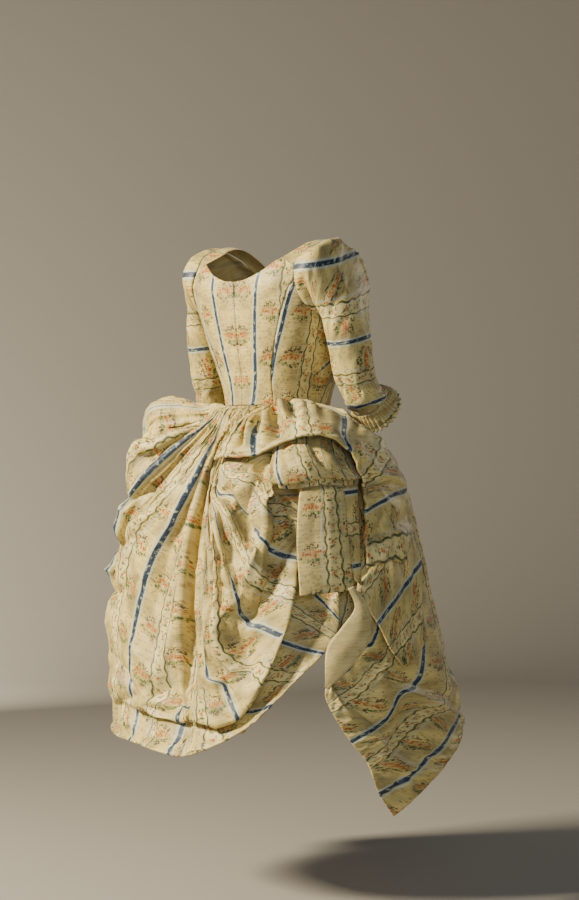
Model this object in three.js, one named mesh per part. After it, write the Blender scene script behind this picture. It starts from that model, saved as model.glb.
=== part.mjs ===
// Robe a la polonaise: a gown of striped and flowered silk whose skirt is drawn up
// through its pocket slits.  Millimetres, +Z up, the wearer faces -Y, the wearer's
// left is +X.  The origin lies between the shoulders, level with their tops.
//
// The cloth is written as rings and folds.  A place on the cloth is [angle, radius, height]:
// the angle is counted in degrees from the centre back towards the wearer's right.
import * as THREE from 'three';

// ---- sizes that drive the gown -------------------------------------------------
const WALL = 1.5;             // silk taffeta with its lining, drawn as one wall
const SEAM = 0.9;             // clear gap left between two pieces at a seam
const WAIST_Z = -328;         // waist seam
const NECK_BACK_Z = -75;      // neckline at the centre back
const NECK_FRONT_Z = -150;    // neckline at the centre front
const SHOULDER_Z = 6;         // top of the shoulder strap
const ARMHOLE_MID_Z = -72;
const ARMHOLE_HALF_HEIGHT = 77;
const ARMHOLE_BACK = 100;     // from the middle of the armhole to its back edge
const ARMHOLE_FRONT = 88;
const ARMHOLE_MID_Y = 15;

// ---- small helpers ---------------------------------------------------------------
const DEG = Math.PI / 180;

function place([angle, radius, height]) {
  const a = angle * DEG;
  return new THREE.Vector3(-radius * Math.sin(a), radius * Math.cos(a), height);
}

function spline(points, t) {
  const n = points.length;
  const i = Math.min(Math.max(Math.floor(t), 0), n - 2);
  const f = t - i;
  const get = (k) => {
    if (k < 0) return points[0].clone().multiplyScalar(2).sub(points[1]);
    if (k > n - 1) return points[n - 1].clone().multiplyScalar(2).sub(points[n - 2]);
    return points[k];
  };
  const w0 = 0.5 * (-f + 2 * f * f - f * f * f);
  const w1 = 0.5 * (2 - 5 * f * f + 3 * f * f * f);
  const w2 = 0.5 * (f + 4 * f * f - 3 * f * f * f);
  const w3 = 0.5 * (-f * f + f * f * f);
  const out = new THREE.Vector3();
  out.addScaledVector(get(i - 1), w0).addScaledVector(get(i), w1);
  out.addScaledVector(get(i + 1), w2).addScaledVector(get(i + 2), w3);
  return out;
}

function indexAt(list, value) {
  let k = 0;
  while (k < list.length - 2 && value > list[k + 1]) k += 1;
  return k + (value - list[k]) / (list[k + 1] - list[k]);
}

function between(from, to, steps) {
  return Array.from({ length: steps + 1 }, (_, i) => from + (to - from) * i / steps);
}

// A net of cloth: the rays run down the cloth, and each passes through the named places.
// A row of its table holds at (how far across the cloth the ray lies) and the places.
function clothNet(places, rows) {
  const rays = rows.map(([at, ...points]) => ({
    at,
    points: points.map((point) => new THREE.Vector3(...point)),
  }));
  return { places, rays };
}

function netPoint(net, at, down) {
  const t = indexAt(net.rays.map((ray) => ray.at), at);
  const across = net.places.map((_, k) => spline(net.rays.map((ray) => ray.points[k]), t));
  return place(spline(across, down).toArray());
}

// Pleats: crests stand out from the net half-way down and fade away at both ends.
const LONE_PLEAT = 60;        // width given to a pleat with no neighbour

function pleatHeight(pleats, at, down) {
  const crests = pleats.crests;
  let nearest = 0;
  crests.forEach((crest, k) => {
    if (Math.abs(at - crest) < Math.abs(at - crests[nearest])) nearest = k;
  });
  const away = Math.abs(at - crests[nearest]);
  const other = crests[at > crests[nearest] ? nearest + 1 : nearest - 1];
  const width = other === undefined ? LONE_PLEAT : Math.abs(other - crests[nearest]);
  const wave = Math.cos(Math.PI * Math.min(1, away / (width / 2)));
  const t = (down - pleats.from) / (pleats.to - pleats.from);
  const fade = t <= 0 || t >= 1 ? 0 : Math.sin(Math.PI * Math.pow(t, 0.6));
  return 0.5 * pleats.depth * wave * fade;
}

// The way the cloth faces at each point of a grid, outward from the body.  The first
// or last row can be held level, where it meets a seam.
function gridNormals(grid, flatFirst, flatLast) {
  const n = grid.length;
  const m = grid[0].length;
  const normals = [];
  for (let i = 0; i < n; i += 1) {
    const row = [];
    for (let j = 0; j < m; j += 1) {
      const du = grid[Math.min(i + 1, n - 1)][j].clone().sub(grid[Math.max(i - 1, 0)][j]);
      const dv = grid[i][Math.min(j + 1, m - 1)].clone().sub(grid[i][Math.max(j - 1, 0)]);
      const normal = du.cross(dv).normalize();
      row.push(normal);
    }
    normals.push(row);
  }
  let facing = 0;
  for (let i = 0; i < n; i += 1) {
    for (let j = 0; j < m; j += 1) {
      facing += normals[i][j].x * grid[i][j].x + normals[i][j].y * grid[i][j].y;
    }
  }
  if (facing < 0) normals.forEach((row) => row.forEach((v) => v.negate()));
  for (let i = 0; i < n; i += 1) {
    if (flatFirst) normals[i][0].setZ(0).normalize();
    if (flatLast) normals[i][m - 1].setZ(0).normalize();
  }
  return normals;
}

function makeGrid(net, ats, downs, pleats) {
  const base = ats.map((at) => downs.map((down) => netPoint(net, at, down)));
  if (!pleats) return base;
  const normals = gridNormals(base, false, false);
  return base.map((column, i) => column.map((p, j) => (
    p.clone().addScaledVector(normals[i][j], pleatHeight(pleats, ats[i], downs[j]))
  )));
}

// Close a sheet of points into a wall of cloth.
function wallGeometry(grid, normals, closed) {
  const n = grid.length;
  const m = grid[0].length;
  const positions = [];
  for (const side of [0.5, -0.5]) {
    for (let i = 0; i < n; i += 1) {
      for (let j = 0; j < m; j += 1) {
        const p = grid[i][j].clone().addScaledVector(normals[i][j], side * WALL);
        positions.push(p.x, p.y, p.z);
      }
    }
  }
  const id = (side, i, j) => side * n * m + (i % n) * m + j;
  const faces = [];
  const last = closed ? n : n - 1;
  for (let i = 0; i < last; i += 1) {
    for (let j = 0; j < m - 1; j += 1) {
      faces.push([id(0, i, j), id(0, i + 1, j), id(0, i + 1, j + 1)]);
      faces.push([id(0, i, j), id(0, i + 1, j + 1), id(0, i, j + 1)]);
      faces.push([id(1, i, j), id(1, i + 1, j + 1), id(1, i + 1, j)]);
      faces.push([id(1, i, j), id(1, i, j + 1), id(1, i + 1, j + 1)]);
    }
    for (const [j, flip] of [[0, false], [m - 1, true]]) {
      const quad = [id(0, i, j), id(1, i, j), id(1, i + 1, j), id(0, i + 1, j)];
      if (flip) quad.reverse();
      faces.push([quad[0], quad[1], quad[2]], [quad[0], quad[2], quad[3]]);
    }
  }
  if (!closed) {
    for (let j = 0; j < m - 1; j += 1) {
      for (const [i, flip] of [[0, true], [n - 1, false]]) {
        const quad = [id(0, i, j), id(1, i, j), id(1, i, j + 1), id(0, i, j + 1)];
        if (flip) quad.reverse();
        faces.push([quad[0], quad[1], quad[2]], [quad[0], quad[2], quad[3]]);
      }
    }
  }
  let volume = 0;
  const at = (k) => new THREE.Vector3(positions[3 * k], positions[3 * k + 1], positions[3 * k + 2]);
  for (const [a, b, c] of faces) volume += at(a).dot(at(b).cross(at(c)));
  if (volume < 0) faces.forEach((face) => face.reverse());
  const geometry = new THREE.BufferGeometry();
  geometry.setAttribute('position', new THREE.Float32BufferAttribute(positions, 3));
  geometry.setIndex(faces.flat());
  geometry.computeVertexNormals();
  return geometry;
}

// ---- colours ---------------------------------------------------------------------
const silk = { color: 0xd9c79d, roughness: 0.55, metalness: 0 };
const silkReverse = { color: 0xe3d2b8, roughness: 0.6, metalness: 0 };

const gown = new THREE.Group();
gown.name = 'robe_a_la_polonaise';

function addCloth(name, grid, options = {}, look = silk) {
  const normals = options.normals || gridNormals(grid, options.flatFirst, options.flatLast);
  const geometry = wallGeometry(grid, normals, options.closed);
  const mesh = new THREE.Mesh(geometry, new THREE.MeshStandardMaterial(look));
  mesh.name = name;
  gown.add(mesh);
  return mesh;
}

// The same piece for the other side of the body.
function mirrored(grid) {
  return grid.map((column) => column.map((p) => new THREE.Vector3(-p.x, p.y, p.z)));
}

// ---- the body of the gown ----------------------------------------------------------
// Rings of the torso from the waist up: half width, depth to the back and to the front,
// and how square the ring is behind and before.
const torso = [
  { z: -328, half: 108, back: 117, front: 95, squareBack: 2.1, squareFront: 2.1 },
  { z: -295, half: 114, back: 116, front: 102, squareBack: 2.15, squareFront: 2.1 },
  { z: -262, half: 126, back: 119, front: 112, squareBack: 2.3, squareFront: 2.15 },
  { z: -220, half: 139, back: 127, front: 128, squareBack: 2.5, squareFront: 2.2 },
  { z: -160, half: 152, back: 135, front: 139, squareBack: 3.0, squareFront: 2.3 },
  { z: -105, half: 161, back: 140, front: 130, squareBack: 3.8, squareFront: 2.4 },
  { z: -69, half: 164, back: 138, front: 114, squareBack: 4.2, squareFront: 2.4 },
  { z: -20, half: 159, back: 114, front: 88, squareBack: 4.0, squareFront: 2.6 },
  { z: 20, half: 149, back: 86, front: 70, squareBack: 3.6, squareFront: 2.8 },
];

function torsoRing(z) {
  const t = indexAt(torso.map((ring) => ring.z), z);
  const size = spline(torso.map((ring) => new THREE.Vector3(ring.half, ring.back, ring.front)), t);
  const bend = spline(torso.map((r) => new THREE.Vector3(r.squareBack, r.squareFront, 0)), t);
  return { half: size.x, back: size.y, front: size.z, squareBack: bend.x, squareFront: bend.y };
}

function torsoRadius(angle, z) {
  const ring = torsoRing(z);
  const a = angle * DEG;
  const depth = Math.cos(a) >= 0 ? ring.back : ring.front;
  const square = Math.cos(a) >= 0 ? ring.squareBack : ring.squareFront;
  const x = Math.abs(Math.sin(a)) / ring.half;
  const y = Math.abs(Math.cos(a)) / depth;
  return Math.pow(Math.pow(x, square) + Math.pow(y, square), -1 / square);
}

function onTorso(angle, z) {
  return place([angle, torsoRadius(angle, z), z]);
}

// The armhole is an upright oval cut in the torso; turn 0 is its top, 90 its back,
// 180 the underarm.
function armhole(turn) {
  const a = turn * DEG;
  const y = ARMHOLE_MID_Y + (Math.sin(a) >= 0 ? ARMHOLE_BACK : ARMHOLE_FRONT) * Math.sin(a);
  const z = ARMHOLE_MID_Z + ARMHOLE_HALF_HEIGHT * Math.cos(a);
  const ring = torsoRing(z);
  const depth = y >= 0 ? ring.back : ring.front;
  const square = y >= 0 ? ring.squareBack : ring.squareFront;
  const x = ring.half * Math.pow(1 - Math.pow(Math.abs(y) / depth, square), 1 / square);
  return new THREE.Vector3(-x, y, z);
}

// A bodice piece is cut from the torso: each line climbs from the waist through the
// listed [angle, height] marks and may end along the armhole.
function bodicePiece(lines, stepsUp) {
  return lines.map(({ marks, arm = [] }) => {
    const points = marks.map(([angle, z]) => new THREE.Vector3(angle, z, 0));
    const column = between(0, marks.length - 1, stepsUp - arm.length).map((t) => {
      const mark = spline(points, t);
      return onTorso(mark.x, mark.y);
    });
    return column.concat(arm.map((turn) => armhole(turn)));
  });
}

const backLines = [
  { marks: [[0.2, WAIST_Z], [0.2, -270], [0.2, -200], [0.2, -130], [0.2, NECK_BACK_Z]] },
  { marks: [[8, WAIST_Z], [7.5, -270], [9, -200], [11, -130], [13, -71]] },
  { marks: [[17, WAIST_Z], [16, -270], [19, -195], [23, -122], [28, -55]] },
  { marks: [[27, WAIST_Z], [25, -270], [30, -190], [36, -115], [42, -33]] },
  { marks: [[35.7, WAIST_Z], [33.7, -262], [39.7, -175], [46, -100]], arm: [90, 67.5] },
];
const sideLines = [
  { marks: [[36.3, WAIST_Z], [34.3, -262], [40.3, -175], [46.7, -103]], arm: [92] },
  { marks: [[48, WAIST_Z], [47, -262], [52, -185], [56, -118]], arm: [112.5] },
  { marks: [[60, WAIST_Z], [60, -262], [63, -190], [66, -140]], arm: [135] },
  { marks: [[72, WAIST_Z], [72, -265], [74, -205], [76, -155]], arm: [157.5] },
  { marks: [[84, WAIST_Z], [84, -270], [84, -210], [84, -162]], arm: [179] },
];
const frontLines = [
  { marks: [[84.7, WAIST_Z], [84.7, -270], [84.7, -210], [84.7, -162]], arm: [181] },
  { marks: [[98, WAIST_Z], [97, -270], [96, -210], [95, -158]], arm: [202.5] },
  { marks: [[111, WAIST_Z], [109, -265], [106, -200], [104, -142]], arm: [225] },
  { marks: [[123, WAIST_Z], [120, -262], [116, -185], [112, -120]], arm: [247.5] },
  { marks: [[134, WAIST_Z], [131, -262], [125, -170], [119, -95]], arm: [270] },
  { marks: [[144, WAIST_Z], [141, -262], [133, -165], [123, -75]], arm: [292.5] },
  { marks: [[156, WAIST_Z], [153, -262], [147, -170], [138, -66]] },
  { marks: [[168, WAIST_Z], [166, -262], [163, -190], [159, -112]] },
  { marks: [[179.8, WAIST_Z], [179.8, -262], [179.8, -205], [179.8, NECK_FRONT_Z]] },
];
const back = bodicePiece(backLines, 8);
const side = bodicePiece(sideLines, 6);
const front = bodicePiece(frontLines, 6);

for (const [suffix, turn] of [['right', (g) => g], ['left', mirrored]]) {
  addCloth(`bodice_back_${suffix}`, turn(back), { flatFirst: true });
  addCloth(`bodice_side_${suffix}`, turn(side), { flatFirst: true });
  addCloth(`bodice_front_${suffix}`, turn(front), { flatFirst: true });
}

// Straps over the shoulders join the back neck to the front.
function strapRow(inner, outer, lift) {
  return between(0, 1, 3).map((t) => {
    const p = inner.clone().lerp(outer, t);
    p.z += lift * 4 * t * (1 - t);
    return p;
  });
}
function shifted(p, x, y, z) {
  return p.clone().add(new THREE.Vector3(x, y, z));
}
const strapRows = [
  { inner: shifted(onTorso(42, -33), 0, -0.4, 0.7), outer: shifted(armhole(67.5), 0, -0.4, 0.7), lift: 0 },
  { inner: new THREE.Vector3(-103, 64, -9), outer: armhole(45), lift: 3 },
  { inner: new THREE.Vector3(-105, 42, 1), outer: armhole(22.5), lift: 5 },
  { inner: new THREE.Vector3(-106, 12, SHOULDER_Z), outer: armhole(0), lift: 6 },
  { inner: new THREE.Vector3(-105, -20, -1), outer: armhole(-22.5), lift: 5 },
  { inner: new THREE.Vector3(-103, -62, -24), outer: armhole(-45), lift: 3 },
  { inner: shifted(onTorso(138, -66), 0, 0.4, 0.7), outer: shifted(armhole(-67.5), 0, 0.4, 0.7), lift: 0 },
].map((row) => strapRow(row.inner, row.outer, row.lift));

// Sleeves: rings down the arm, each with its middle, its half size across and deep.
const sleeveRings = [
  { name: 'head', mid: [-174, 16, -68], across: 0, deep: 92, high: 70, tip: 78 },
  { name: 'cap', mid: [-191, 14, -126], across: 39, deep: 62, tip: 38 },
  { name: 'upper', mid: [-198, 12, -170], across: 40, deep: 51, tip: 14 },
  { name: 'arm', mid: [-201, 5, -215], across: 41, deep: 46, tip: 2 },
  { name: 'low', mid: [-204, -4, -260], across: 40, deep: 44, tip: -6 },
  { name: 'elbow', mid: [-206, -18, -297], across: 41, deep: 44, tip: -26 },
  { name: 'end', mid: [-206, -46, -318], across: 40, deep: 41, tip: -50 },
];

function sleevePoint(row, turn) {
  const ring = sleeveRings[row];
  const a = turn * DEG;
  // the ring leans: tip is how far its outer side is dropped or lifted, degrees
  const lean = ring.tip * DEG;
  const mid = new THREE.Vector3(...ring.mid);
  const y = ring.deep * Math.sin(a);
  if (row === 0) {
    return new THREE.Vector3(ring.mid[0] - 12 * Math.cos(a), mid.y + y, mid.z + ring.high * Math.cos(a));
  }
  const x = -ring.across * Math.cos(a);
  if (ring.tip < 0) {
    // below the elbow the ring faces forward
    const t = -lean;
    return mid.add(new THREE.Vector3(x, y * Math.cos(t), -y * Math.sin(t)));
  }
  return mid.add(new THREE.Vector3(x * Math.cos(lean), y, -x * Math.sin(lean)));
}

const SLEEVE_TURNS = 16;
const SLEEVE_ROWS = 9;
const sleeveStart = 1.9;      // the sleeve is set in outside the armhole edge
const sleeve = between(0, 360, SLEEVE_TURNS).slice(0, -1).map((turn) => {
  const edge = armhole(turn);
  edge.x -= 0.9 * sleeveStart;
  edge.y += 0.5 * sleeveStart * Math.sin(turn * DEG);
  const ringPoints = sleeveRings.map((_, row) => sleevePoint(row, turn));
  return between(0, ringPoints.length, SLEEVE_ROWS).map((t) => spline([edge, ...ringPoints], t));
});

// A small flounce of pleated silk finishes each sleeve, longest behind the elbow.
const FLOUNCE_LONG = 38;
const FLOUNCE_SHORT = 20;
const FLOUNCE_TURNS = 20;
const flounce = between(0, 360, FLOUNCE_TURNS).slice(0, -1).map((turn, k) => {
  const last = sleeveRings.length - 1;
  const top = sleevePoint(last, turn);
  const mid = new THREE.Vector3(...sleeveRings[last].mid);
  const out = top.clone().sub(mid).normalize();
  const down = new THREE.Vector3(-0.05, -0.72, -0.69);
  const wave = k % 2 === 0 ? 4 : -4;
  const share = 0.5 + 0.5 * Math.cos((turn - 45) * DEG);
  const length = FLOUNCE_SHORT + (FLOUNCE_LONG - FLOUNCE_SHORT) * share;
  return [0, 0.4, 1].map((t) => top.clone()
    .addScaledVector(out, 2.4 + (11 + wave) * t)
    .addScaledVector(down, length * t));
});

for (const [suffix, turn] of [['right', (g) => g], ['left', mirrored]]) {
  addCloth(`strap_${suffix}`, turn(strapRows));
  addCloth(`sleeve_${suffix}`, turn(sleeve), { closed: true });
  addCloth(`sleeve_flounce_${suffix}`, turn(flounce), { closed: true });
}

// ---- the skirt ---------------------------------------------------------------------
// at: how far across the cloth the ray lies, mm, counted from a blue stripe.
// Each ray starts at its angle on the waist seam.
function waistPlace(angle) {
  return [angle, torsoRadius(angle, WAIST_Z), WAIST_Z - SEAM];
}

function skirtNet(places, rows) {
  return clothNet(places, rows.map(([at, waist, ...rest]) => [at, waistPlace(waist), ...rest]));
}

const backPlaces = ['waist', 'gather', 'high', 'hip', 'mid', 'belly', 'low', 'tuck', 'hem'];
const skirtBack = skirtNet(backPlaces, [
  // at, waist, gather, high, hip, mid, belly, low, tuck, hem
  [-420, -62, [-75, 172, -325], [-82, 232, -316], [-87, 285, -360], [-91, 312, -480],
    [-94, 338, -660], [-94, 342, -850], [-93, 322, -856], [-90, 332, -905]],
  [-350, -49, [-60, 170, -322], [-65, 250, -298], [-68, 295, -340], [-78, 318, -460],
    [-82, 345, -650], [-80, 350, -885], [-79, 330, -890], [-77, 340, -945]],
  [-292, -38, [-46, 155, -325], [-55, 270, -322], [-58, 300, -375], [-64, 325, -500],
    [-68, 352, -680], [-66, 356, -910], [-65, 336, -915], [-64, 345, -972]],
  [-219, -30, [-31, 163, -355], [-41, 262, -395], [-47, 312, -425], [-54, 330, -530],
    [-58, 358, -680], [-54, 360, -922], [-53, 340, -927], [-52, 348, -990]],
  [-146, -24, [-25, 181, -368], [-36, 254, -437], [-44, 318, -505], [-47, 338, -560],
    [-48, 360, -690], [-43, 362, -930], [-42, 340, -934], [-41, 348, -998]],
  [-73, -20, [-16, 175, -385], [-25, 252, -488], [-33, 280, -530], [-42, 322, -590],
    [-42, 345, -730], [-33, 352, -938], [-32, 330, -942], [-32, 342, -1005]],
  [0, -16, [-7, 185, -400], [-8, 237, -491], [-16, 260, -562], [-25, 289, -649],
    [-30, 322, -790], [-27, 335, -940], [-26, 314, -944], [-23, 332, -1008]],
  [60, -12, [-3, 190, -405], [-4, 235, -521], [-9, 256, -610], [-13, 275, -720],
    [-14, 298, -850], [-13, 318, -948], [-13, 298, -952], [-12, 324, -1016]],
  [110, -8, [0, 203, -414], [-1, 237, -522], [-1, 249, -622], [-2, 257, -722],
    [-2, 275, -850], [1, 298, -952], [1, 280, -956], [1, 320, -1026]],
  [180, -4, [2, 202, -418], [2, 237, -522], [1, 250, -622], [1, 260, -722],
    [3, 280, -850], [6, 306, -952], [6, 288, -956], [6, 320, -1028]],
  [292, -1, [5, 206, -436], [5, 236, -510], [3, 250, -600], [2, 262, -720],
    [6, 278, -850], [11, 312, -948], [12, 294, -952], [20, 324, -1003]],
  [365, 1, [7, 208, -440], [9, 245, -520], [10, 265, -610], [9, 277, -740],
    [14, 300, -870], [20, 325, -950], [22, 303, -946], [31, 330, -960]],
  [438, 3, [8, 210, -444], [12, 262, -560], [16, 290, -670], [15, 301, -795],
    [22, 312, -870], [29, 333, -925], [33, 308, -915], [41, 335, -906]],
  [511, 5, [10, 213, -450], [15, 272, -570], [19, 302, -690], [20, 306, -790],
    [29, 305, -826], [37, 340, -853], [40, 312, -845], [49, 338, -859]],
  [584, 7, [12, 217, -456], [18, 280, -570], [23, 302, -670], [28, 293, -750],
    [35, 307, -757], [42, 342, -775], [45, 312, -775], [57, 338, -815]],
  [657, 9, [15, 222, -456], [20, 270, -535], [26, 288, -605], [34, 317, -668],
    [39, 312, -684], [46, 330, -696], [50, 300, -700], [61, 336, -784]],
  [730, 11, [16, 224, -452], [24, 275, -509], [29, 257, -560], [36, 300, -593],
    [42, 276, -623], [49, 285, -630], [54, 282, -650], [63, 328, -752]],
  [803, 13, [18, 220, -440], [26, 250, -468], [32, 244, -482], [37, 288, -518],
    [42, 261, -529], [51, 268, -548], [56, 270, -580], [64, 312, -715]],
  [860, 15, [20, 208, -428], [29, 232, -440], [35, 238, -448], [39, 272, -482],
    [42, 256, -490], [52, 252, -512], [57, 258, -545], [64, 298, -670]],
  [930, 17, [22, 192, -402], [31, 214, -402], [38, 220, -408], [44, 226, -425],
    [50, 230, -440], [57, 232, -455], [61, 240, -500], [65, 280, -600]],
]);

const backPleats = {
  crests: [-395, -340, -285, -232, -182, -134, -88, -42, 4, 48, 90,
    158, 215, 275, 335, 395, 455, 520, 584, 650, 715, 780, 845, 900],
  depth: 14,
  from: 0,
  to: 5,
};

function pleatColumns(crests, from, to) {
  const ats = [from];
  crests.forEach((c, k) => {
    if (c > from + 8 && c < to - 8) ats.push(c);
    const next = crests[k + 1];
    const valley = next === undefined ? null : (c + next) / 2;
    if (valley !== null && valley > from + 8 && valley < to - 8) ats.push(valley);
  });
  ats.push(to);
  return ats;
}

const SKIRT_SPLIT = 125;      // the centre-back seam of the skirt, in the narrow fold
const backDowns = [0, 0.4, 1, 1.5, 2, 2.5, 3, 3.5, 4, 4.5, 5, 5.5, 6, 7, 8];
const leftAts = pleatColumns(backPleats.crests, -420, SKIRT_SPLIT);
const rightAts = pleatColumns(backPleats.crests, SKIRT_SPLIT, 930);
const wholeAts = [...leftAts, ...rightAts.slice(1)];
const wholeBack = makeGrid(skirtBack, wholeAts, backDowns, backPleats);
const wholeNormals = gridNormals(wholeBack, true, false);

function partOf(grid, normals, from, to, shiftFirst, shiftLast) {
  const columns = grid.slice(from, to + 1).map((column) => column.map((p) => p.clone()));
  const edge = normals.slice(from, to + 1);
  const nudge = (k, toward, amount) => {
    columns[k] = columns[k].map((p, j) => {
      const way = columns[toward][j].clone().sub(p).normalize();
      return p.clone().addScaledVector(way, amount);
    });
  };
  if (shiftFirst) nudge(0, 1, shiftFirst);
  if (shiftLast) nudge(columns.length - 1, columns.length - 2, shiftLast);
  return { grid: columns, normals: edge };
}

const splitColumn = leftAts.length - 1;
const leftPart = partOf(wholeBack, wholeNormals, 0, splitColumn, 0, 0.45);
const rightPart = partOf(wholeBack, wholeNormals, splitColumn, wholeAts.length - 1, 0.45, 0);
addCloth('skirt_back_left', leftPart.grid, { normals: leftPart.normals });
addCloth('skirt_back_right', rightPart.grid, { normals: rightPart.normals });

// The front of the skirt hangs open from the side of the waist to the front edge, and
// its lower corner is swung round towards the back.
const frontPlaces = ['waist', 'shelf', 'hip', 'thigh', 'knee', 'bend', 'swing', 'low', 'hem'];
const frontNet = skirtNet(frontPlaces, [
  // at (0 is the front edge), waist, shelf, hip, thigh, knee, bend, swing, low, hem
  [-450, 83, [83, 152, -364], [80, 200, -440], [75, 235, -560], [69, 262, -640],
    [65, 280, -690], [63, 292, -725], [62, 304, -752], [61, 318, -782]],
  [-390, 86, [87, 158, -362], [86, 206, -435], [84, 252, -545], [78, 292, -640],
    [73, 305, -700], [69, 320, -748], [66, 330, -785], [63, 344, -822]],
  [-325, 90, [93, 160, -362], [92, 208, -430], [91, 258, -540], [88, 304, -670],
    [77, 340, -785], [72, 347, -802], [65, 352, -840], [57, 354, -880]],
  [-250, 97, [100, 160, -362], [100, 210, -425], [99, 262, -535], [97, 312, -690],
    [82, 350, -822], [75, 357, -846], [67, 361, -884], [58, 362, -920]],
  [-178, 107, [109, 160, -364], [111, 214, -425], [112, 266, -525], [108, 320, -715],
    [95, 362, -868], [84, 366, -896], [78, 371, -940], [64, 375, -985]],
  [-105, 120, [120, 164, -370], [124, 222, -432], [124, 274, -525], [125, 328, -740],
    [114, 374, -914], [92, 374, -940], [79, 378, -986], [69, 384, -1030]],
  [-32, 132, [131, 168, -374], [134, 226, -438], [135, 270, -525], [135, 322, -740],
    [131, 370, -925], [110, 383, -985], [90, 388, -1032], [72, 390, -1087]],
  [0, 139, [138, 168, -376], [140, 224, -440], [142, 264, -525], [144, 312, -740],
    [139, 362, -935], [116, 388, -1005], [97, 390, -1062], [77, 392, -1133]],
]);
const frontPleats = { crests: [-415, -355, -290, -220, -150, -85, -30], depth: 7, from: 0, to: 3.5 };
const frontDowns = [0, 0.5, 1, 2, 2.5, 3, 3.5, 4, 4.5, 5, 5.5, 6, 7, 8];
const frontAts = pleatColumns(frontPleats.crests, -450, 0);
const frontRight = makeGrid(frontNet, frontAts, frontDowns, frontPleats);
addCloth('skirt_front_right', frontRight, { flatFirst: true });

// The left front hangs straighter, under the drawn-up back.
const leftFrontNet = skirtNet(frontPlaces, [
  [-330, 70, [72, 146, -360], [76, 190, -440], [80, 232, -550], [84, 272, -690],
    [86, 300, -830], [86, 312, -900], [86, 318, -940], [85, 326, -985]],
  [-250, 84, [86, 152, -364], [88, 200, -440], [90, 245, -550], [92, 290, -700],
    [93, 312, -850], [93, 322, -915], [92, 336, -955], [90, 342, -1002]],
  [-170, 100, [102, 158, -366], [104, 210, -435], [106, 258, -545], [108, 306, -715],
    [108, 342, -870], [106, 350, -930], [104, 355, -975], [101, 360, -1024]],
  [-85, 120, [121, 164, -370], [124, 220, -436], [126, 268, -540], [128, 318, -730],
    [127, 352, -885], [122, 362, -945], [118, 368, -994], [113, 372, -1044]],
  [0, 139, [138, 168, -376], [140, 224, -442], [142, 262, -540], [144, 308, -730],
    [141, 345, -890], [136, 358, -950], [131, 366, -1006], [125, 372, -1062]],
]);
const leftFrontAts = between(-330, 0, 10);
const frontLeft = makeGrid(leftFrontNet, leftFrontAts, frontDowns);
addCloth('skirt_front_left', mirrored(frontLeft), { flatFirst: true });

// The swag: an arch of cloth from the back waist over the right hip.
const swagPlaces = ['waist', 'shelf', 'crest', 'face', 'edge'];
const swagNet = skirtNet(swagPlaces, [
  // at, waist, shelf, crest, face, edge
  [-120, 20, [14, 138, -340], [7, 162, -368], [5, 194, -402], [6, 226, -436]],
  [-73, 26, [20, 142, -342], [14, 168, -358], [11, 204, -398], [12, 236, -430]],
  [0, 37, [32, 150, -332], [28, 190, -350], [28, 236, -396], [30, 254, -427]],
  [40, 45, [41, 150, -322], [40, 188, -326], [43, 240, -368], [43, 268, -402]],
  [73, 52, [53, 150, -318], [54, 190, -318], [52, 250, -352], [52, 285, -388]],
  [110, 59, [62, 155, -320], [64, 200, -324], [62, 262, -358], [61, 292, -388]],
  [146, 65, [72, 165, -326], [78, 215, -350], [70, 275, -384], [70, 298, -418]],
  [190, 71, [80, 175, -334], [88, 240, -374], [80, 287, -410], [74, 300, -452]],
  [219, 75, [86, 176, -350], [98, 250, -400], [86, 292, -450], [77, 303, -484]],
  [292, 78, [89, 176, -348], [114, 270, -478], [92, 298, -510], [77, 304, -540]],
  [350, 80, [90, 192, -360], [104, 300, -560], [90, 314, -585], [76, 314, -602]],
  [380, 81.5, [89, 198, -364], [94, 316, -620], [85, 324, -640], [75, 324, -652]],
]);
const swagAts = between(0, 11, 22).map((t) => {
  const ats = swagNet.rays.map((ray) => ray.at);
  const k = Math.min(Math.floor(t), 10);
  return ats[k] + (ats[k + 1] - ats[k]) * (t - k);
});
const swag = makeGrid(swagNet, swagAts, between(0, 4, 8));
addCloth('skirt_swag_right', swag, { flatFirst: true });

// The roll of cloth drawn out of the pocket slit, under the swag.
const rollNet = clothNet(['back', 'top', 'front', 'bottom', 'under', 'tail'], [
  // at, back, top, front, bottom, under, tail
  [-30, [39, 222, -415.6], [39, 258, -430], [38, 298, -462],
    [39, 302, -486], [41, 290, -484], [42, 285, -494]],
  [0, [42, 227, -388], [41, 264, -426], [41, 305, -456],
    [43, 310, -487], [44, 296, -483], [45, 292, -495]],
  [40, [48, 230, -380], [46, 270, -415], [46, 312, -446],
    [49, 316, -486], [50, 302, -481], [50, 300, -494]],
  [73, [54, 232, -374], [51, 274, -409], [52, 315, -441],
    [55, 318, -477], [55, 304, -474], [55, 302, -490]],
  [105, [60, 232, -374], [57, 276, -410], [57, 312, -442],
    [60, 316, -472], [60, 304, -470], [60, 302, -488]],
  [135, [66, 232, -380], [64, 274, -422], [64, 306, -449],
    [65, 314, -477], [65, 303, -474], [65, 301, -489]],
  [160, [72, 230, -392], [70, 268, -436], [69, 298, -458],
    [71, 306, -477], [71, 297, -473], [71, 295, -489]],
  [185, [78, 226, -410], [77, 256, -448], [76, 280, -466],
    [76, 288, -475], [76, 283, -474], [76, 282, -487]],
]);
const rollAts = between(-30, 185, 12);
const roll = makeGrid(rollNet, rollAts, between(0, 5, 11));
addCloth('skirt_roll_right', roll, { flatLast: true });

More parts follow.
